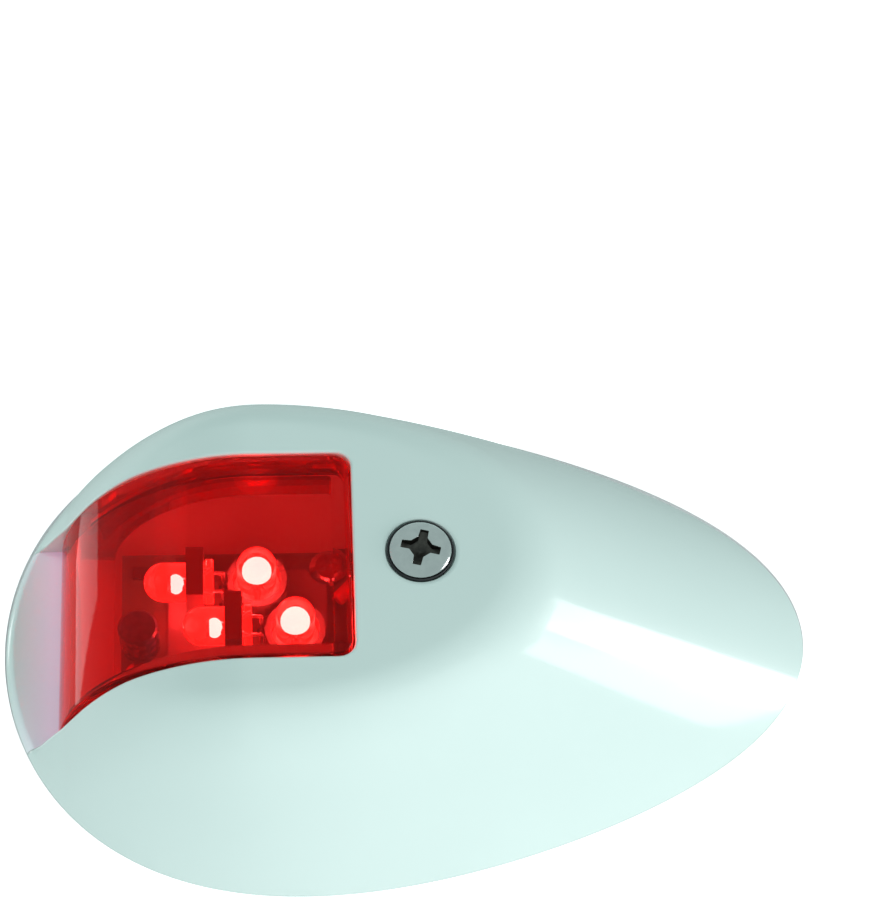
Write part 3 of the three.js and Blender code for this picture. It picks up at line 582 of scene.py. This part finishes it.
def spline(points, steps):
    """Points on a Catmull-Rom curve through the given ones."""
    p = np.array([2 * np.array(points[0]) - points[1], *points, 2 * np.array(points[-1]) - points[-2]], float)
    out = []
    for i in range(1, len(p) - 2):
        for t in np.linspace(0, 1, steps, endpoint=False):
            a = 2 * p[i] + (p[i + 1] - p[i - 1]) * t
            b = (2 * p[i - 1] - 5 * p[i] + 4 * p[i + 1] - p[i + 2]) * t**2
            c = (3 * p[i] - p[i - 1] - 3 * p[i + 1] + p[i + 2]) * t**3
            out.append((a + b + c) / 2)
    return out + [p[-2]]


# ---- cover screw --------------------------------------------------------------------------------

CROSS_TURN, CROSS_REACH, CROSS_HALF, CROSS_CORE, CROSS_DEPTH = -0.24, 2.45, 0.52, 1.9, 2.0
CROSS_SLOPE, STUB_RADIUS = 0.45, SHANK_RADIUS - 0.35


def cross_distance(p):
    """Signed distance, roughly, to the head's cross recess, negative inside."""
    c, s = math.cos(CROSS_TURN), math.sin(CROSS_TURN)
    x, y = np.abs(p[:, 0] * c + p[:, 1] * s), np.abs(p[:, 1] * c - p[:, 0] * s)

    def wing(along, across):
        return np.maximum(along - CROSS_REACH, across - CROSS_HALF * (1.25 - 0.3 * along / CROSS_REACH))

    core = (x + y - CROSS_CORE) / math.sqrt(2)
    return np.minimum(np.minimum(wing(x, y), wing(y, x)), core)


def cross_loop(offset):
    """Outline of the recess, by marching out from its centre to where its distance is the offset."""
    out = []
    for a in np.linspace(0, 2 * np.pi, 160, endpoint=False):
        way = np.array([[math.cos(a + CROSS_TURN), math.sin(a + CROSS_TURN)]])
        low, high = 0.0, 4.0
        for _ in range(30):
            mid = (low + high) / 2
            low, high = (mid, high) if cross_distance(way * mid)[0] < offset else (low, mid)
        out.append(way[0] * low)
    return np.array(out)


def make_screw():
    """Oval head with a cross recess, on a threaded shank."""
    at = np.array([SCREW_X, 0.0])
    curves = [(circle(SCREW_X, 0, HEAD_RADIUS * k, 64), True) for k in (1.0, 0.996, 0.985, 0.965, 0.93)]
    curves += [(circle(SCREW_X, 0, STUB_RADIUS, 32), True)]
    curves += [(cross_loop(d) + at, True) for d in (0.0, 0.05, 0.12)]
    span = ((SCREW_X - HEAD_RADIUS, -HEAD_RADIUS), (SCREW_X + HEAD_RADIUS, HEAD_RADIUS))
    points, triangles = plan(curves, [], span, 0.34, 0.1)
    from_axis = points - at
    r = np.hypot(*from_axis.T)
    rise = np.sqrt(np.clip(1 - (r / HEAD_RADIUS) ** 2, 0, 1))
    distance = np.maximum(cross_distance(from_axis), 0)
    drop, lean = rounded(distance, 0.12)
    slope = from_axis * (HEAD_DOME / HEAD_RADIUS**2)
    dome_normal = unit(np.concatenate([slope, rise[:, None] + 1e-4], axis=1))
    dome_normal = leaned(dome_normal, -gradient(cross_distance, from_axis), lean)

    def rising(rate):
        """Normals of a surface that rises away from the axis at a rate."""
        return unit(np.column_stack([-from_axis * rate / np.maximum(r, 0.1)[:, None], np.ones(len(r))]))

    floor = COVER_TOP + HEAD_DOME - CROSS_DEPTH + CROSS_SLOPE * r
    cone_rate = (HEAD_CONE - 0.2) / (HEAD_RADIUS - SHANK_RADIUS)
    cone = COVER_TOP - HEAD_CONE + np.clip(r - SHANK_RADIUS, 0, None) * cone_rate
    levels = {
        "dome": (COVER_TOP + HEAD_DOME * rise - drop, dome_normal), "floor": (floor, rising(CROSS_SLOPE)),
        "cone": (cone, rising(cone_rate)), "stub": constant(points, COVER_TOP - HEAD_CONE - 1.0),
    }
    middle = np.mean(points[np.array(triangles)], axis=1) - at
    layers = []
    for m, in_cross in zip(np.hypot(*middle.T), cross_distance(middle) < 0):
        bottom = "stub" if m < STUB_RADIUS else "cone"
        layers.append((bottom, "floor" if in_cross else "dome") if m < HEAD_RADIUS * 0.9995 else None)
    head = shell("screw_head", points, triangles, layers, levels, upright)
    return joined("cover_screw_fine", head, make_thread(COVER_TOP - HEAD_CONE - 0.2))


def make_thread(top):
    """Shank with a rolled thread, closed at its pointed end and at its top."""
    sides, rows_per_turn = 28, 8
    rows = int((top - TIP_Z) / THREAD_PITCH * rows_per_turn)
    vertices, faces = [], []
    for row in range(rows + 1):
        z = TIP_Z + (top - TIP_Z) * row / rows
        for i in range(sides):
            turn = (row / rows_per_turn - i / sides) % 1
            ridge = 1 - abs(2 * turn - 1)
            taper = min(1.0, (z - TIP_Z + 0.3) / 1.1)
            radius = (SHANK_RADIUS - THREAD_DEPTH * (1 - min(1.0, 1.3 * ridge))) * taper
            a = 2 * math.pi * i / sides
            vertices.append((SCREW_X + radius * math.cos(a), radius * math.sin(a), z))
    for row in range(rows):
        for i in range(sides):
            a, b = row * sides + i, row * sides + (i + 1) % sides
            faces.append((a, b, b + sides, a + sides))
    faces.append(tuple(range(sides - 1, -1, -1)))
    faces.append(tuple(range(rows * sides, (rows + 1) * sides)))
    return solid("thread", vertices, faces, 35)


def make_seal():
    """Dark soft cup between the screw head and its countersink."""
    low, rim = COVER_TOP - HEAD_CONE - SEAL, HEAD_RADIUS + SEAL
    bore, inner = SHANK_RADIUS + 0.1, HEAD_RADIUS + 0.08
    section = [(bore, low), (bore + 0.35, low), (rim, COVER_TOP - 0.3), (rim, COVER_TOP - 0.1)]
    section += [(rim - 0.1, COVER_TOP), (inner + 0.05, COVER_TOP), (inner, COVER_TOP - 0.05)]
    section += [(inner, COVER_TOP - 0.2), (bore, COVER_TOP - HEAD_CONE)]
    sides = 64
    vertices = []
    for a in np.linspace(0, 2 * np.pi, sides, endpoint=False):
        vertices += [(SCREW_X + r * math.cos(a), r * math.sin(a), z) for r, z in section]
    n = len(section)
    faces = []
    for i in range(sides):
        for k in range(n):
            a, b = i * n + k, i * n + (k + 1) % n
            c, d = ((i + 1) % sides) * n + k, ((i + 1) % sides) * n + (k + 1) % n
            faces.append((a, c, d, b))
    return solid("screw_seal_fine", vertices, faces, 40)


# ---- LEDs ---------------------------------------------------------------------------------------


def led_pieces(i, place, upward):
    """Clear dome, its metal frame and its glowing die, standing up or lying towards the bow."""
    x, y = place
    if upward:
        matrix = Matrix.Translation((x, y, LED_SEAT_Z))
    else:
        lie_down = Matrix.Rotation(-math.pi / 2, 4, "Y")
        matrix = Matrix.Translation((x + LED_LENGTH, y, FORWARD_LED_Z)) @ lie_down
    off_centre = matrix @ Matrix.Translation((0, -0.2, 0))
    flange = LED_RADIUS + 0.4
    profile = [(0, 0), (flange - 0.1, 0), (flange, 0.1), (flange, 0.9), (flange - 0.1, 1.0)]
    profile += [(LED_RADIUS, 1.0)] + sphere_end(LED_RADIUS, LED_LENGTH - LED_RADIUS, 14)
    body = turned(f"led_{i}_dome", profile, 40, matrix)
    posts = []
    for side, top in ((-1, 5.0), (1, 4.4)):
        wide, close = y + side * LEAD_PITCH / 2, y + side * LEAD_PITCH / 2 * 0.45
        if upward:
            route = [(x, wide, BOARD_UNDER), (x, wide, LED_SEAT_Z)]
            route += [(x, close, LED_SEAT_Z + 2.2), (x, close, LED_SEAT_Z + top)]
        else:
            back = x + LED_LENGTH
            bend = back + FORWARD_LEAD_X
            route = [(bend, wide, BOARD_UNDER), (bend, wide, FORWARD_LED_Z - 0.9)]
            route += [(bend - 0.3, wide, FORWARD_LED_Z - 0.2), (back - 0.3, wide, FORWARD_LED_Z)]
            route += [(back - 2.2, close, FORWARD_LED_Z), (back - top, close, FORWARD_LED_Z)]
        posts.append(swept(f"led_{i}_post_{side}", spline(route, 5), LEAD_HALF, 8))
    cup = [(0, 4.6), (0.35, 4.6), (0.75, 5.2), (0.95, 5.75), (0.8, 5.75), (0.5, 5.35), (0, 5.35)]
    posts.append(turned(f"led_{i}_cup", cup, 24, off_centre))
    legs = joined(f"led_{i}_frame", *posts)
    glow, centre = (1.35, 5.6) if upward else (1.0, 4.7)
    tip = sphere_end(glow, centre, 8)
    ball = [(r, 2 * centre - z) for r, z in tip[:0:-1]] + tip
    die = turned(f"led_{i}_die", ball, 20, off_centre)
    die.visible_diffuse = False  # bright enough to show through the lens, without flooding the chamber
    return body, legs, die


# ---- other fine pieces --------------------------------------------------------------------------


def make_lead(name, side):
    """Insulated lead from the board's aft edge to the terminal block."""
    y = side * TERMINAL_Y
    route = [(-9.2, side * 3.4 - 1.0, BOARD_TOP + 1.3), (-6.0, side * 5.6 - 0.5, BOARD_TOP + 1.6)]
    route += [(SCREW_X, side * 8.2, BOARD_TOP + 0.6), (10.0, side * 8.0, WIRE_Z + 1.0)]
    route += [(17.0, side * 5.2, WIRE_Z + 0.6), (BLOCK_X0 - 1.5, y, WIRE_Z), (BLOCK_X - 0.4, y, WIRE_Z)]
    return swept(name, spline(route, 12), WIRE_RADIUS, 20)


def make_gasket():
    """Foam sheet under the light, with a softened edge and its holes."""
    edge, row = (egg(d - GASKET_PROUD, GASKET_POINTS) + [0, GASKET_SHIFT_Y] for d in (0.0, 0.15))
    holes = [((-2.0, 21.0), 2.7), ((-2.0, -21.0), 2.7), ((39.0, 0.0), 2.7), ((14.0, 0.0), 7.2)]
    curves = [(edge, True), (row, True)] + [(circle(*at, r, 32), True) for at, r in holes]
    points, triangles = plan(curves, [], SPAN, 3.0, 1.0)
    middle = np.mean(points[np.array(triangles)], axis=1)
    sheet = inside(middle, edge)
    for at, r in holes:
        sheet &= np.hypot(*(middle - at).T) > r * 0.998
    top, level = constant(points, GASKET)
    top = top - np.where(inside(points, row), 0, 0.12)
    layers = [("low", "high") if s else None for s in sheet]
    levels = {"high": (top, level), "low": constant(points, 0.0)}
    return shell("mounting_gasket_fine", points, triangles, layers, levels, upright)


# ---- materials ----------------------------------------------------------------------------------


def ranged(m, value, old, new):
    """A node output carried from one range of numbers to another."""
    node = m.node_tree.nodes.new("ShaderNodeMapRange")
    node.inputs["From Min"].default_value, node.inputs["From Max"].default_value = old
    node.inputs["To Min"].default_value, node.inputs["To Max"].default_value = new
    m.node_tree.links.new(value, node.inputs["Value"])
    return node.outputs["Result"]


def blended(m, factor, a, b):
    """Colour that goes from a to b with a node output."""
    node = m.node_tree.nodes.new("ShaderNodeMix")
    node.data_type = "RGBA"
    node.inputs["A"].default_value, node.inputs["B"].default_value = (*a, 1), (*b, 1)
    m.node_tree.links.new(factor, node.inputs["Factor"])
    return node.outputs["Result"]


def material(name, color, vary, share, scale, rough, bump, bump_scale, **sockets):
    """Procedural finish: colour that drifts between two tones, uneven roughness and a fine relief.

    share is how far it drifts, scale how finely, rough the range of roughness, and bump the relief's
    depth in millimetres. Other shader inputs are given by name."""
    m = bpy.data.materials.new(name)
    m.use_nodes = True
    nodes, links = m.node_tree.nodes, m.node_tree.links
    shader = nodes["Principled BSDF"]
    for key, value in sockets.items():
        shader.inputs[key.replace("_", " ")].default_value = value
    place = nodes.new("ShaderNodeTexCoord").outputs["Object"]

    def noise(at, detail):
        """Strength of a noise of a given scale and detail."""
        n = nodes.new("ShaderNodeTexNoise")
        n.inputs["Scale"].default_value = at
        n.inputs["Detail"].default_value = detail
        links.new(place, n.inputs["Vector"])
        return n.outputs["Fac"]

    spread = ranged(m, noise(scale, 3), (0.35, 0.65), (0.0, share))
    links.new(blended(m, spread, color, vary), shader.inputs["Base Color"])
    shine = ranged(m, noise(scale * 2.5, 4), (0.0, 1.0), rough)
    links.new(shine, shader.inputs["Roughness"])
    if bump:
        relief = nodes.new("ShaderNodeBump")
        relief.inputs["Strength"].default_value = 1.0
        relief.inputs["Distance"].default_value = bump * MM
        links.new(noise(bump_scale, 2), relief.inputs["Height"])
        links.new(relief.outputs["Normal"], shader.inputs["Normal"])
    return m


def painted_glow_along_x(m, dark_x, lit_x, color):
    """Painted glow: emission that rises from nothing at dark_x to its full colour at lit_x, both in
    millimetres.
    """
    nodes, links = m.node_tree.nodes, m.node_tree.links
    split = nodes.new("ShaderNodeSeparateXYZ")
    links.new(nodes.new("ShaderNodeTexCoord").outputs["Object"], split.inputs["Vector"])
    rise = ranged(m, split.outputs["X"], (dark_x * MM, lit_x * MM), (0.0, 1.0))
    glow = blended(m, rise, (0, 0, 0), color)
    links.new(glow, nodes["Principled BSDF"].inputs["Emission Color"])


def let_lamps_through(m, tint):
    """Lamps shine through this clear piece, tinted, so that they reach what it shuts in."""
    nodes, links = m.node_tree.nodes, m.node_tree.links
    path, mix = nodes.new("ShaderNodeLightPath"), nodes.new("ShaderNodeMixShader")
    clear = nodes.new("ShaderNodeBsdfTransparent")
    clear.inputs["Color"].default_value = (*tint, 1)
    links.new(path.outputs["Is Shadow Ray"], mix.inputs["Fac"])
    links.new(nodes["Principled BSDF"].outputs["BSDF"], mix.inputs[1])
    links.new(clear.outputs["BSDF"], mix.inputs[2])
    links.new(mix.outputs["Shader"], nodes["Material Output"].inputs["Surface"])


ENAMEL_LOOK = ((0.70, 0.82, 0.80), (0.68, 0.80, 0.78), 0.5, 60, (0.26, 0.34), 0.003, 1500)
ENAMEL_COAT = {"Coat_Weight": 1.0, "Coat_Roughness": 0.09}
ENAMEL = material("white enamel", *ENAMEL_LOOK, **ENAMEL_COAT)
# Enamel that glows pink from emission along x: painted light on the shelf, in place of the red LED light
# through the lens.
ENAMEL_PAINTED_GLOW = material("enamel with painted lens glow", *ENAMEL_LOOK, **ENAMEL_COAT, Emission_Strength=0.23)
painted_glow_along_x(ENAMEL_PAINTED_GLOW, -52.0, -46.5, (1.0, 0.42, 0.92))

# The lens's emission colour is a painted red glow that brightens the plastic; the plastic itself gives no
# light.
LENS_TINT, LENS_PAINTED_GLOW = (0.98, 0.08, 0.06), (1.0, 0.006, 0.004, 1.0)
LENS_GRAIN = (0.5, 150, (0.02, 0.06), 0.003, 900)
RED_LENS = material(
    "red polycarbonate", (0.93, 0.008, 0.006), (0.89, 0.006, 0.005), *LENS_GRAIN,
    Transmission_Weight=0.95, IOR=1.2, Specular_IOR_Level=0.4,
    Emission_Color=LENS_PAINTED_GLOW, Emission_Strength=0.035,
)
let_lamps_through(RED_LENS, LENS_TINT)
# A darker, less glowing copy of the red plastic: painted shade for the lens's side faces.
RED_LENS_PAINTED_SHADE = material(
    "red polycarbonate with painted shade", (0.36, 0.004, 0.003), (0.31, 0.003, 0.002), *LENS_GRAIN,
    Transmission_Weight=0.95, IOR=1.2, Specular_IOR_Level=0.3,
    Emission_Color=LENS_PAINTED_GLOW, Emission_Strength=0.01,
)
let_lamps_through(RED_LENS_PAINTED_SHADE, LENS_TINT)
EPOXY = material(
    "clear epoxy", (0.96, 0.93, 0.92), (0.95, 0.9, 0.88), 0.5, 300, (0.02, 0.06), 0.002, 900,
    Transmission_Weight=1.0, IOR=1.3, Emission_Color=(1.0, 0.5, 0.45, 1.0), Emission_Strength=1.9,
)
let_lamps_through(EPOXY, (0.95, 0.9, 0.88))
DIE = material(
    "lit die", (1.0, 0.6, 0.5), (0.9, 0.54, 0.45), 0.3, 900, (0.4, 0.5), 0.0, 0,
    Emission_Color=(0.14, 0.62, 0.74, 1.0), Emission_Strength=260.0,
)


def metal(name, *look):
    """Bare metal finish."""
    return material(name, *look, Metallic=1.0)


POLISHED = metal("polished head", (0.82, 0.82, 0.82), (0.7, 0.7, 0.71), 0.5, 900, (0.12, 0.24), 0.006, 3000)
RECESS = metal(
    "recess in shade", (0.13, 0.115, 0.105), (0.05, 0.045, 0.045), 0.7, 1300, (0.3, 0.5), 0.01, 2500,
)
STEEL = metal("polished stainless", (0.66, 0.66, 0.67), (0.5, 0.5, 0.52), 0.4, 700, (0.14, 0.26), 0.006, 3000)
TINNED = metal("tinned steel", (0.6, 0.6, 0.62), (0.48, 0.48, 0.5), 0.5, 900, (0.25, 0.4), 0.01, 3000)
BRASS = metal("turned brass", (0.76, 0.55, 0.22), (0.55, 0.37, 0.13), 0.5, 400, (0.25, 0.42), 0.01, 1600)

FOAM = material(
    "closed-cell foam", (0.82, 0.79, 0.81), (0.72, 0.69, 0.71), 0.6, 1500, (0.8, 0.95), 0.05, 2600,
)
PLASTIC = material(
    "moulded plastic", (0.74, 0.76, 0.76), (0.66, 0.68, 0.68), 0.4, 120, (0.38, 0.5), 0.01, 2500,
)
HOLDER = material("dark moulding", (0.2, 0.2, 0.205), (0.14, 0.14, 0.145), 0.4, 150, (0.3, 0.42), 0.01, 2500)
RUBBER = material(
    "black rubber", (0.022, 0.022, 0.025), (0.045, 0.045, 0.05), 0.5, 500, (0.55, 0.75), 0.02, 2400,
)
BLACK = material("moulded epoxy", (0.03, 0.03, 0.033), (0.055, 0.055, 0.06), 0.5, 600, (0.4, 0.6), 0.02, 2600)
BOARD = material(
    "solder mask", (0.12, 0.28, 0.16), (0.08, 0.2, 0.11), 0.5, 260, (0.25, 0.4), 0.01, 1200, Coat_Weight=0.3,
)
SLEEVE = material(
    "shrink sleeve", (0.03, 0.06, 0.2), (0.05, 0.09, 0.27), 0.5, 400, (0.2, 0.35), 0.01, 800, Coat_Weight=0.2,
)
RED_WIRE = material(
    "red insulation", (0.5, 0.02, 0.02), (0.4, 0.015, 0.015), 0.5, 500, (0.28, 0.42), 0.008, 1500,
)
BLACK_WIRE = material(
    "black insulation", (0.025, 0.025, 0.025), (0.045, 0.045, 0.045), 0.5, 500, (0.28, 0.42), 0.008, 1500,
)

# ---- pieces on their bodies ---------------------------------------------------------------------


def dress(piece, finish, slot, body, *nodes):
    """Gives a new piece its material and its body, and hides the CAD nodes that it stands for."""
    piece.data.materials.clear()
    piece.data.materials.append(finish)
    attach(piece, body)
    if nodes:
        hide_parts(*nodes)
    return piece


def add_finish(piece, finish, chosen):
    """Second material for the faces that chosen picks by their centre, in millimetres, and normal."""
    piece.data.materials.append(finish)
    for face in piece.data.polygons:
        if chosen(face.center / MM, face.normal):
            face.material_index = 1


def under_painted_glow(at, normal):
    """Cover faces between the lens's foot and the bow lip, which take a painted pink glow in place of the
    lens's light.
    """
    low, high = GASKET + LIP_HEIGHT, SHELF_Z + 0.05
    return at.x < SHELF_BACK_X and abs(at.y) < OPENING_HALF and low < at.z < high


def on_painted_shade_side(at, normal):
    """Lens faces that look across the light, which get a darker copy of the red plastic as painted shade."""
    return abs(normal.y) > 0.7


def in_recess(at, normal):
    """Screw faces inside the cross recess."""
    deep_enough = at.z > COVER_TOP + HEAD_DOME - CROSS_DEPTH - 0.05
    return deep_enough and cross_distance(np.array([[at.x - SCREW_X, at.y]]))[0] < 0.02


cover = make_cover()
cover.name = "cover_fine"
dress(cover, ENAMEL, "white_enamel", "cover", "cover")
# The shelf ahead of the lens gets the enamel with the painted pink glow.
add_finish(cover, ENAMEL_PAINTED_GLOW, under_painted_glow)
lens = dress(joined("lens_fine", make_lens(), make_flange()), RED_LENS, "red_lens", "cover", "lens")
# The lens's side faces get the darker red copy, painted shade.
add_finish(lens, RED_LENS_PAINTED_SHADE, on_painted_shade_side)
screw = dress(make_screw(), POLISHED, "steel", "cover_screw", "cover_screw")
add_finish(screw, RECESS, in_recess)
dress(make_seal(), RUBBER, "rubber", "screw_seal", "screw_seal")
dress(make_gasket(), FOAM, "foam", "base", "mounting_gasket")
dress(make_lead("lead_negative_fine", -1), BLACK_WIRE, "wire_black", "base", "lead_negative")
dress(make_lead("lead_positive_fine", 1), RED_WIRE, "wire_red", "base", "lead_positive")
ALL_LEDS = [(place, True) for place in UPRIGHT_LEDS] + [(place, False) for place in FORWARD_LEDS]
for i, (place, upward) in enumerate(ALL_LEDS, 1):
    dome, legs, die = led_pieces(i, place, upward)
    dress(dome, EPOXY, "led", "base", f"led_{i}")
    dress(legs, TINNED, "steel", "base")
    dress(die, DIE, "led", "base")

CARRIED_OVER = {
    "base_plate": PLASTIC, "cover_seal": RUBBER, "threaded_insert": BRASS, "cable_grommet": RUBBER,
    "led_board": BOARD, "led_holder": HOLDER, "board_screw_1": STEEL, "board_screw_2": STEEL,
    "resistor_1": BLACK, "resistor_2": BLACK, "polarity_diode": BLACK, "driver_ic": BLACK,
    "filter_capacitor": SLEEVE, "terminal_block": PLASTIC,
    "terminal_clamp_1": BRASS, "terminal_clamp_2": BRASS,
    "pressure_plate_1": STEEL, "pressure_plate_2": STEEL,
    "terminal_screw_1": STEEL, "terminal_screw_2": STEEL,
    "lens_gasket": RUBBER,
}
for node, finish in CARRIED_OVER.items():
    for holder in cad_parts[node].material_slots:
        holder.material = finish

# ---- camera, floor and light --------------------------------------------------------------------

CAMERA_AT = Vector((-18.29, -182.66, 379.06)) * MM
ELEVATION, AZIMUTH, ROLL = (math.radians(d) for d in (60.468, -6.601, 4.884))
SENSOR_WIDTH, FOCAL_LENGTH = 36.0, 128.39
FLOOR_HALF, FLOOR_GLOW = 2.0, 0.62
SKY, SKY_STRENGTH = (0.75, 0.97, 0.94, 1), 0.485


def add_camera():
    """Camera at the chosen place, looking down at the elevation and rolled about its own axis."""
    data = bpy.data.cameras.new("camera")
    data.sensor_fit, data.sensor_width, data.lens = "HORIZONTAL", SENSOR_WIDTH, FOCAL_LENGTH
    camera = bpy.data.objects.new("camera", data)
    bpy.context.scene.collection.objects.link(camera)
    flat = math.cos(ELEVATION)
    ahead = Vector((-math.sin(AZIMUTH) * flat, math.cos(AZIMUTH) * flat, -math.sin(ELEVATION)))
    right = Vector((math.cos(AZIMUTH), math.sin(AZIMUTH), 0))
    up = right.cross(ahead)
    c, s = math.cos(ROLL), math.sin(ROLL)
    turn = Matrix((c * right + s * up, c * up - s * right, -ahead)).transposed()
    camera.matrix_world = Matrix.Translation(CAMERA_AT) @ turn.to_4x4()
    bpy.context.scene.camera = camera


def add_softbox(name, at, target, width, height, power, mirrored=True):
    """Rectangular lamp that faces its target. One that isn't mirrored lights without being reflected."""
    data = bpy.data.lights.new(name, "AREA")
    data.shape, data.size, data.size_y, data.energy = "RECTANGLE", width, height, power
    lamp = bpy.data.objects.new(name, data)
    bpy.context.scene.collection.objects.link(lamp)
    lamp.location = at
    lamp.rotation_euler = (Vector(target) - Vector(at)).to_track_quat("-Z", "Y").to_euler()
    lamp.visible_glossy = mirrored


def add_floor():
    """Pale floor that glows a little and stays out of the glossy reflections."""
    mesh = bpy.data.meshes.new("floor")
    corners = [(x * FLOOR_HALF, y * FLOOR_HALF, 0) for x, y in ((-1, -1), (1, -1), (1, 1), (-1, 1))]
    mesh.from_pydata(corners, [], [(0, 1, 2, 3)])
    floor = bpy.data.objects.new("floor", mesh)
    bpy.context.scene.collection.objects.link(floor)
    mesh.materials.append(material(
        "pale floor", (0.93, 0.93, 0.93), (0.92, 0.92, 0.92), 0.5, 3, (0.8, 0.9), 0.0, 0,
        Emission_Color=(1, 1, 1, 1), Emission_Strength=FLOOR_GLOW,
    ))
    floor.visible_glossy = False


add_camera()
add_floor()
add_softbox("key", (0.50, -0.66, 0.40), (0, 0, 0.01), 0.6, 0.5, 3.9, mirrored=False)
add_softbox("bow", (-0.72, 0.36, 0.42), (-0.04, 0, 0.01), 0.35, 0.3, 1.8, mirrored=False)
add_softbox("lens front", (-0.306, 0.165, -0.143), (-0.041, 0, 0.016), 0.046, 0.13, 0.034)
add_softbox("edge", (0.87, -0.06, 0.21), (0.03, -0.01, 0.01), 0.26, 0.2, 1.1)
add_softbox("edge fade", (0.83, -0.23, 0.19), (0.03, -0.01, 0.01), 0.34, 0.18, 0.7)
world = bpy.data.worlds.new("studio")
world.use_nodes = True
sky = world.node_tree.nodes["Background"]
sky.inputs["Color"].default_value, sky.inputs["Strength"].default_value = SKY, SKY_STRENGTH
bpy.context.scene.world = world
bpy.context.scene.view_settings.view_transform = "Standard"
